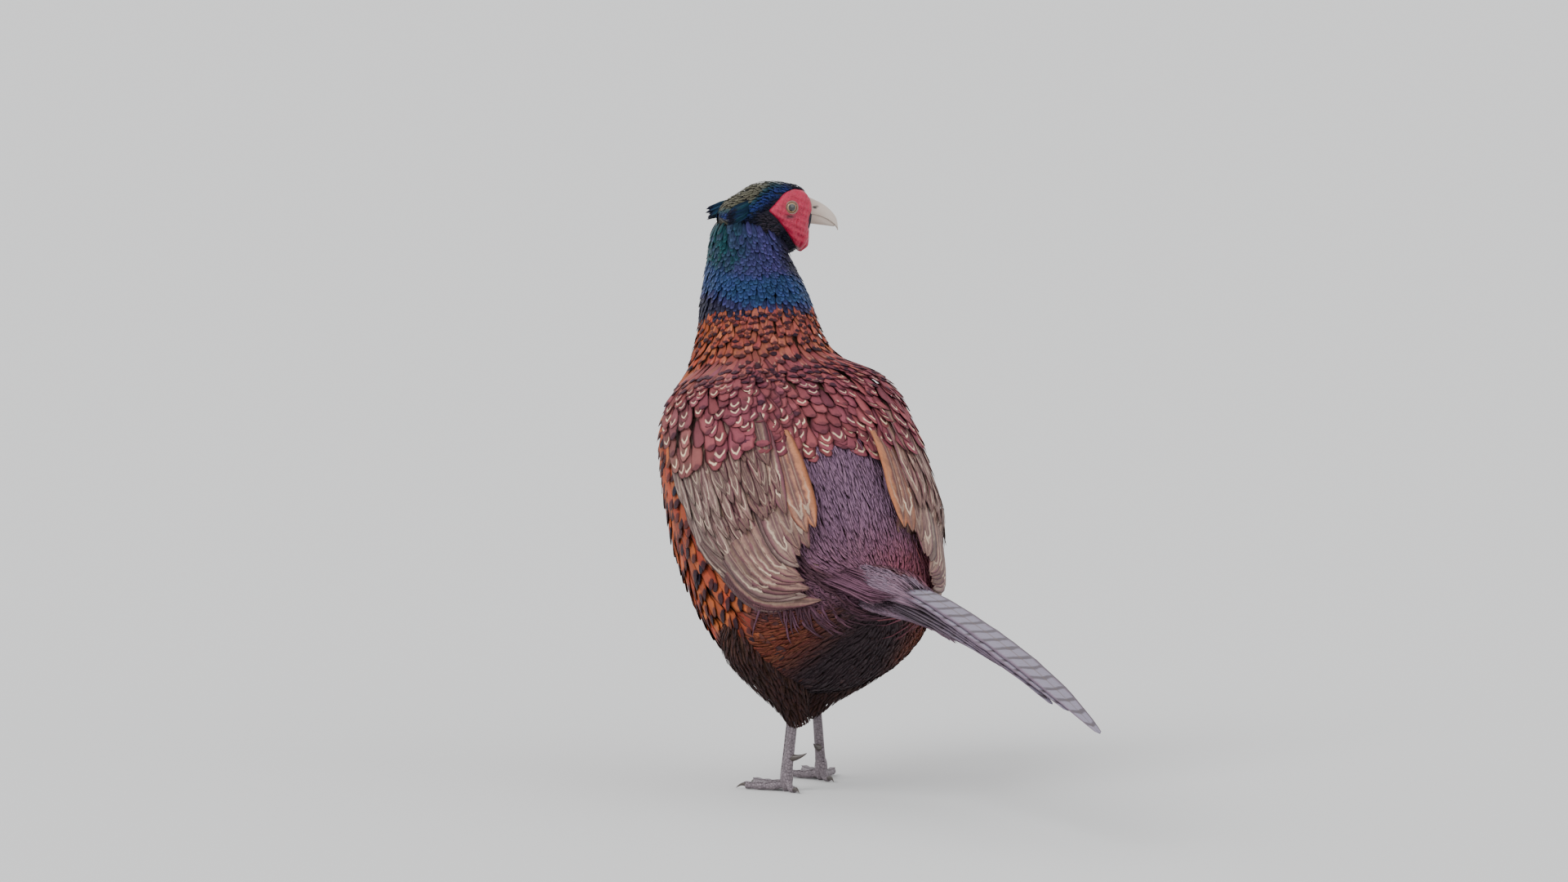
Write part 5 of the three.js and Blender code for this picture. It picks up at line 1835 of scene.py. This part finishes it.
for side_name in LEGS:
    finish_piece(ear_tuft(side_name), "head_plumage", f"ear_tuft_{side_name}")

# %% [markdown]
# ## Legs and feet
#
# Shank and toes are tubes along lines, narrower between the joints. Horny plates repeat down the front of
# each shank and along each toe, so they are set out by a Geometry Nodes tree on the same lines, and joined
# to the tube. Claws and spurs are curved cones.

# %% Tubes and horny plates
SHANK = {"hock": 5.8, "waist": 3.7, "foot": 4.6}
TOES = {
    "inner": (-34, 32, 3.5, 5.5), "middle": (0, 44, 3.8, 5.5), "outer": (32, 35, 3.5, 5.5),
    "hind": (172, 15, 2.8, 10)
}
CLAW = {"length": 10.5, "radius": 2.0, "tip": 0.8}
SPUR = {"height": 27, "length": 13, "radius": 3.4, "turn": 35, "rise": 4}


def tube(points, radii, columns=20, flat=1.0):
    """A closed tube along points."""
    points = np.array(points, float)
    way = unit(np.gradient(points, axis=0))
    upright = np.where(np.abs(way[:, 2:]) > 0.9, [[0.0, -1.0, 0.0]], [[0.0, 0.0, 1.0]])
    side = unit(np.cross(way, upright))
    top = np.cross(side, way)
    angle = np.arange(columns) * 2 * np.pi / columns
    ring = np.cos(angle)[None, :, None] * side[:, None] + flat * np.sin(angle)[None, :, None] * top[:, None]
    body = points[:, None] + np.array(radii)[:, None, None] * ring
    rows = len(points)
    spot = grid_spots(np.linspace(0, 1, rows), np.linspace(0, 1, columns))
    spots = np.concatenate([spot, [[0, 0.5], [1, 0.5]]])
    return np.concatenate([body.reshape(-1, 3), points[[0, -1]]]), *capped_faces(rows, columns), spots


def leg_material():
    shade = Shade("leg_scales")
    cell = shade.node(
        "ShaderNodeTexVoronoi", {"feature": "DISTANCE_TO_EDGE"}, {"Vector": shade.place(), "Scale": 420.0},
        out="Distance"
    )
    # Painted shade: the creases between the scales are darkened, as well as sunk by the bump.
    crease_shade = 1 - shade.ramp(cell, 0.02, 0.14)
    grain = shade.noise(200.0, detail=4.0)
    colour = shade.mix(grain, rgb(0.12, 0.095, 0.115), rgb(0.27, 0.22, 0.24))
    colour = shade.mix(crease_shade * 0.5, colour, rgb(0.05, 0.04, 0.045))
    return shade.surface(colour, 0.5, grain * 0.4 - crease_shade, 0.0003)


def claw_material():
    shade = Shade("claw_horn")
    grain = shade.noise(300.0, detail=4.0)
    return shade.surface(
        shade.mix(grain, rgb(0.03, 0.024, 0.022), rgb(0.1, 0.08, 0.07)), 0.35, grain, 0.0001
    )


def scute_tree(scale_object):
    """Sets one horny plate after another along a curve."""
    tree = bpy.data.node_groups.new("scutes", "GeometryNodeTree")
    face = tree.interface
    face.new_socket("Line", in_out="INPUT", socket_type="NodeSocketGeometry")
    face.new_socket("Plates", in_out="INPUT", socket_type="NodeSocketInt").default_value = 12
    face.new_socket("Horn", in_out="INPUT", socket_type="NodeSocketMaterial")
    face.new_socket("Plates", in_out="OUTPUT", socket_type="NodeSocketGeometry")

    def add(kind, **settings):
        node = tree.nodes.new(kind)
        for key, value in settings.items():
            setattr(node, key, value)
        return node

    source, sink = add("NodeGroupInput"), add("NodeGroupOutput")
    line = add("GeometryNodeMeshToCurve")
    points = add("GeometryNodeCurveToPoints", mode="COUNT")
    plate = add("GeometryNodeObjectInfo")
    plate.inputs["Object"].default_value = scale_object
    copies, real = add("GeometryNodeInstanceOnPoints"), add("GeometryNodeRealizeInstances")
    size, paint = add("GeometryNodeInputNamedAttribute", data_type="FLOAT"), add("GeometryNodeSetMaterial")
    size.inputs["Name"].default_value = "size"
    link = tree.links.new
    link(source.outputs["Line"], line.inputs["Mesh"])
    link(line.outputs["Curve"], points.inputs["Curve"])
    link(source.outputs["Plates"], points.inputs["Count"])
    link(points.outputs["Points"], copies.inputs["Points"])
    link(points.outputs["Rotation"], copies.inputs["Rotation"])
    link(plate.outputs["Geometry"], copies.inputs["Instance"])
    link(size.outputs["Attribute"], copies.inputs["Scale"])
    link(copies.outputs["Instances"], real.inputs["Geometry"])
    link(real.outputs["Geometry"], paint.inputs["Geometry"])
    link(source.outputs["Horn"], paint.inputs["Material"])
    link(paint.outputs["Geometry"], sink.inputs[0])
    return tree


def scutes(name, line, sizes, count, tree, material):
    """The plates along one line, as arrays: points, faces."""
    mesh = bpy.data.meshes.new(name)
    mesh.from_pydata(metres(line).tolist(), [(i, i + 1) for i in range(len(line) - 1)], [])
    mesh.attributes.new("size", "FLOAT", "POINT").data.foreach_set(
        "value", np.array(sizes, np.float32) / 1000
    )
    holder = bpy.data.objects.new(name, mesh)
    bpy.context.scene.collection.objects.link(holder)
    modifier = holder.modifiers.new("scutes", "NODES")
    modifier.node_group = tree
    keys = {item.name: item.identifier for item in tree.interface.items_tree if item.in_out == "INPUT"}
    modifier[keys["Plates"]] = count
    modifier[keys["Horn"]] = material
    made = bpy.data.meshes.new_from_object(holder.evaluated_get(bpy.context.evaluated_depsgraph_get()))
    bpy.data.objects.remove(holder)
    points = np.empty(len(made.vertices) * 3)
    made.vertices.foreach_get("co", points)
    faces = [tuple(face.vertices) for face in made.polygons]
    tris, quads = (np.array([face for face in faces if len(face) == n]) for n in (3, 4))
    return (points.reshape(-1, 3) - SHIFT) * 1000, tris, quads


def plate_object():
    """One plate: a low, rounded shield of unit half width, its front edge lapping over the next."""
    rows, columns = 5, 9
    v, u = np.meshgrid(np.linspace(-1, 1, rows), np.linspace(-1, 1, columns), indexing="ij")
    dome = 0.34 * np.sqrt(np.clip(1 - u**2, 0, 1)) * (1 - 0.5 * v**2) + 0.1 * v
    top = np.stack([u, dome, 0.62 * v], -1).reshape(-1, 3)
    under = top * [1, 0, 1] - [0, 0.25, 0]
    faces = np.concatenate(slab_faces(rows, columns))
    plate = mesh_piece("plate", np.concatenate([top, under]), [], faces, LEG_PAINT, in_metres=True)
    outward(plate)
    return plate


def toe_way(side, degrees):
    sign = SIGNS[side]
    angle = math.radians(sign * (degrees + LEGS[side]["splay"]))
    return np.array([math.sin(angle), -math.cos(angle), 0.0])


def joint_piece(name, parts, material, slot, *nodes):
    """Several closed meshes as one piece, each with a strip of the unwrap."""
    spots = []
    for k, part in enumerate(parts):
        spots.append((np.asarray(part[3]) * 0.94 + 0.03) * [1 / len(parts), 1] + [k / len(parts), 0])
    piece = mesh_piece(
        name, *merged([part[:3] for part in parts]), material, {"OFBake": np.concatenate(spots)}
    )
    outward(piece)
    return finish_piece(piece, slot, *nodes)


def flat_spots(points):
    low, high = points.min(0), points.max(0)
    return ((points - low) / np.maximum(high - low, 1e-6))[:, [0, 2]]


LEG_PAINT, CLAW_PAINT = leg_material(), claw_material()
plate = plate_object()
tree = scute_tree(plate)
print("the tree of plates has", len(tree.nodes), "nodes")

# %% [markdown]
# ## Shanks, toes, claws and spurs
#
# Each leg is built from the hock down, on the lines of its solids.

# %% Shanks, toes, claws and spurs
def with_plates(line, sizes, count):
    points, tris, quads = scutes("strip", line, sizes, count, tree, LEG_PAINT)
    return points, tris, quads, flat_spots(points)


def add_shank(side, hock, foot):
    share = np.linspace(0, 1, 30)
    line = lerp(hock, foot + [0, 0, 1], share[:, None])
    widths = [SHANK["hock"], SHANK["waist"], SHANK["waist"] + 0.3, SHANK["foot"]]
    waist = np.interp(share, [0, 0.22, 0.8, 1], widths)
    front = line + toe_way(side, 0) * (waist[:, None] - 0.5)
    behind = line - toe_way(side, 0) * (waist[:, None] - 0.7)
    parts = [tube(line, waist)]
    for strip, size, number in ((front, 3.2, 15), (behind, 2.3, 18)):
        parts.append(with_plates(strip[2:-2], np.full(26, size), number))
    joint_piece(f"leg_shank_{side}", parts, LEG_PAINT, "leg_scales", f"shank_{side}")


def add_claw(side, toe, start, way):
    bend = np.linspace(0, 1, 14)
    rise = 1.2 * np.sin(bend * np.pi) - (start[2] - CLAW["tip"]) * bend**2
    curve = start + way * (bend[:, None] * CLAW["length"] - 1.5) + UP * rise[:, None]
    curve[:, 2] = np.maximum(curve[:, 2], CLAW["radius"] * (1 - bend) + 0.2)
    horn = tube(curve, CLAW["radius"] * (1 - 0.93 * bend**1.3), 14)
    joint_piece(f"claw_{toe}_{side}", [horn], CLAW_PAINT, "claw", f"claw_{side}_{toe}")


def toe_parts(side, toe, foot):
    """A toe's tube and plates. Its claw is a piece of its own."""
    degrees, length, radius, height = TOES[toe]
    way = toe_way(side, degrees)
    run = np.linspace(0, 1, 26)
    drop = height + (radius * 0.95 - height) * smooth(run, 0, 0.55)
    path = foot * [1, 1, 0] + run[:, None] * length * way + drop[:, None] * UP
    knuckle = radius * (1 - 0.22 * run) * (1 + 0.07 * np.cos(run * 2 * np.pi * 3))
    path[:, 2] = np.maximum(path[:, 2], knuckle + 0.05)
    ridge = path + [0, 0, 1] * (knuckle[:, None] - 0.55)
    plates = with_plates(ridge[2:], knuckle[2:] * 0.72, int(length / 3))
    add_claw(side, toe, path[-1], way)
    return [tube(path, knuckle, 16), plates]


def add_spur(side, hock, foot):
    back = toe_way(side, 180 + SPUR["turn"])
    root = foot + (hock - foot) * (SPUR["height"] - foot[2]) / (hock[2] - foot[2])
    run = np.linspace(0, 1, 14)
    line = root + back * (2 + SPUR["length"] * run[:, None]) + UP * (SPUR["rise"] * run**2)[:, None]
    horn = tube(line, SPUR["radius"] * (1 - 0.9 * run**0.9), 14)
    joint_piece(f"spur_horn_{side}", [horn], CLAW_PAINT, "claw", f"spur_{side}")


for side_name, leg in LEGS.items():
    hock, foot = np.array(leg["hock"], float), np.array(leg["foot"], float)
    add_shank(side_name, hock, foot)
    parts = [part for toe in TOES for part in toe_parts(side_name, toe, foot)]
    middle = lerp(foot + [0, 0, 8], foot * [1, 1, 0] + [0, 0, 0.6], np.linspace(0, 1, 8)[:, None])
    parts.append(tube(middle, 5.2 * np.sin(np.linspace(0.9, 2.6, 8)), 18))
    joint_piece(f"toes_{side_name}", parts, LEG_PAINT, "leg_scales", f"foot_{side_name}")
    add_spur(side_name, hock, foot)
bpy.data.objects.remove(plate)
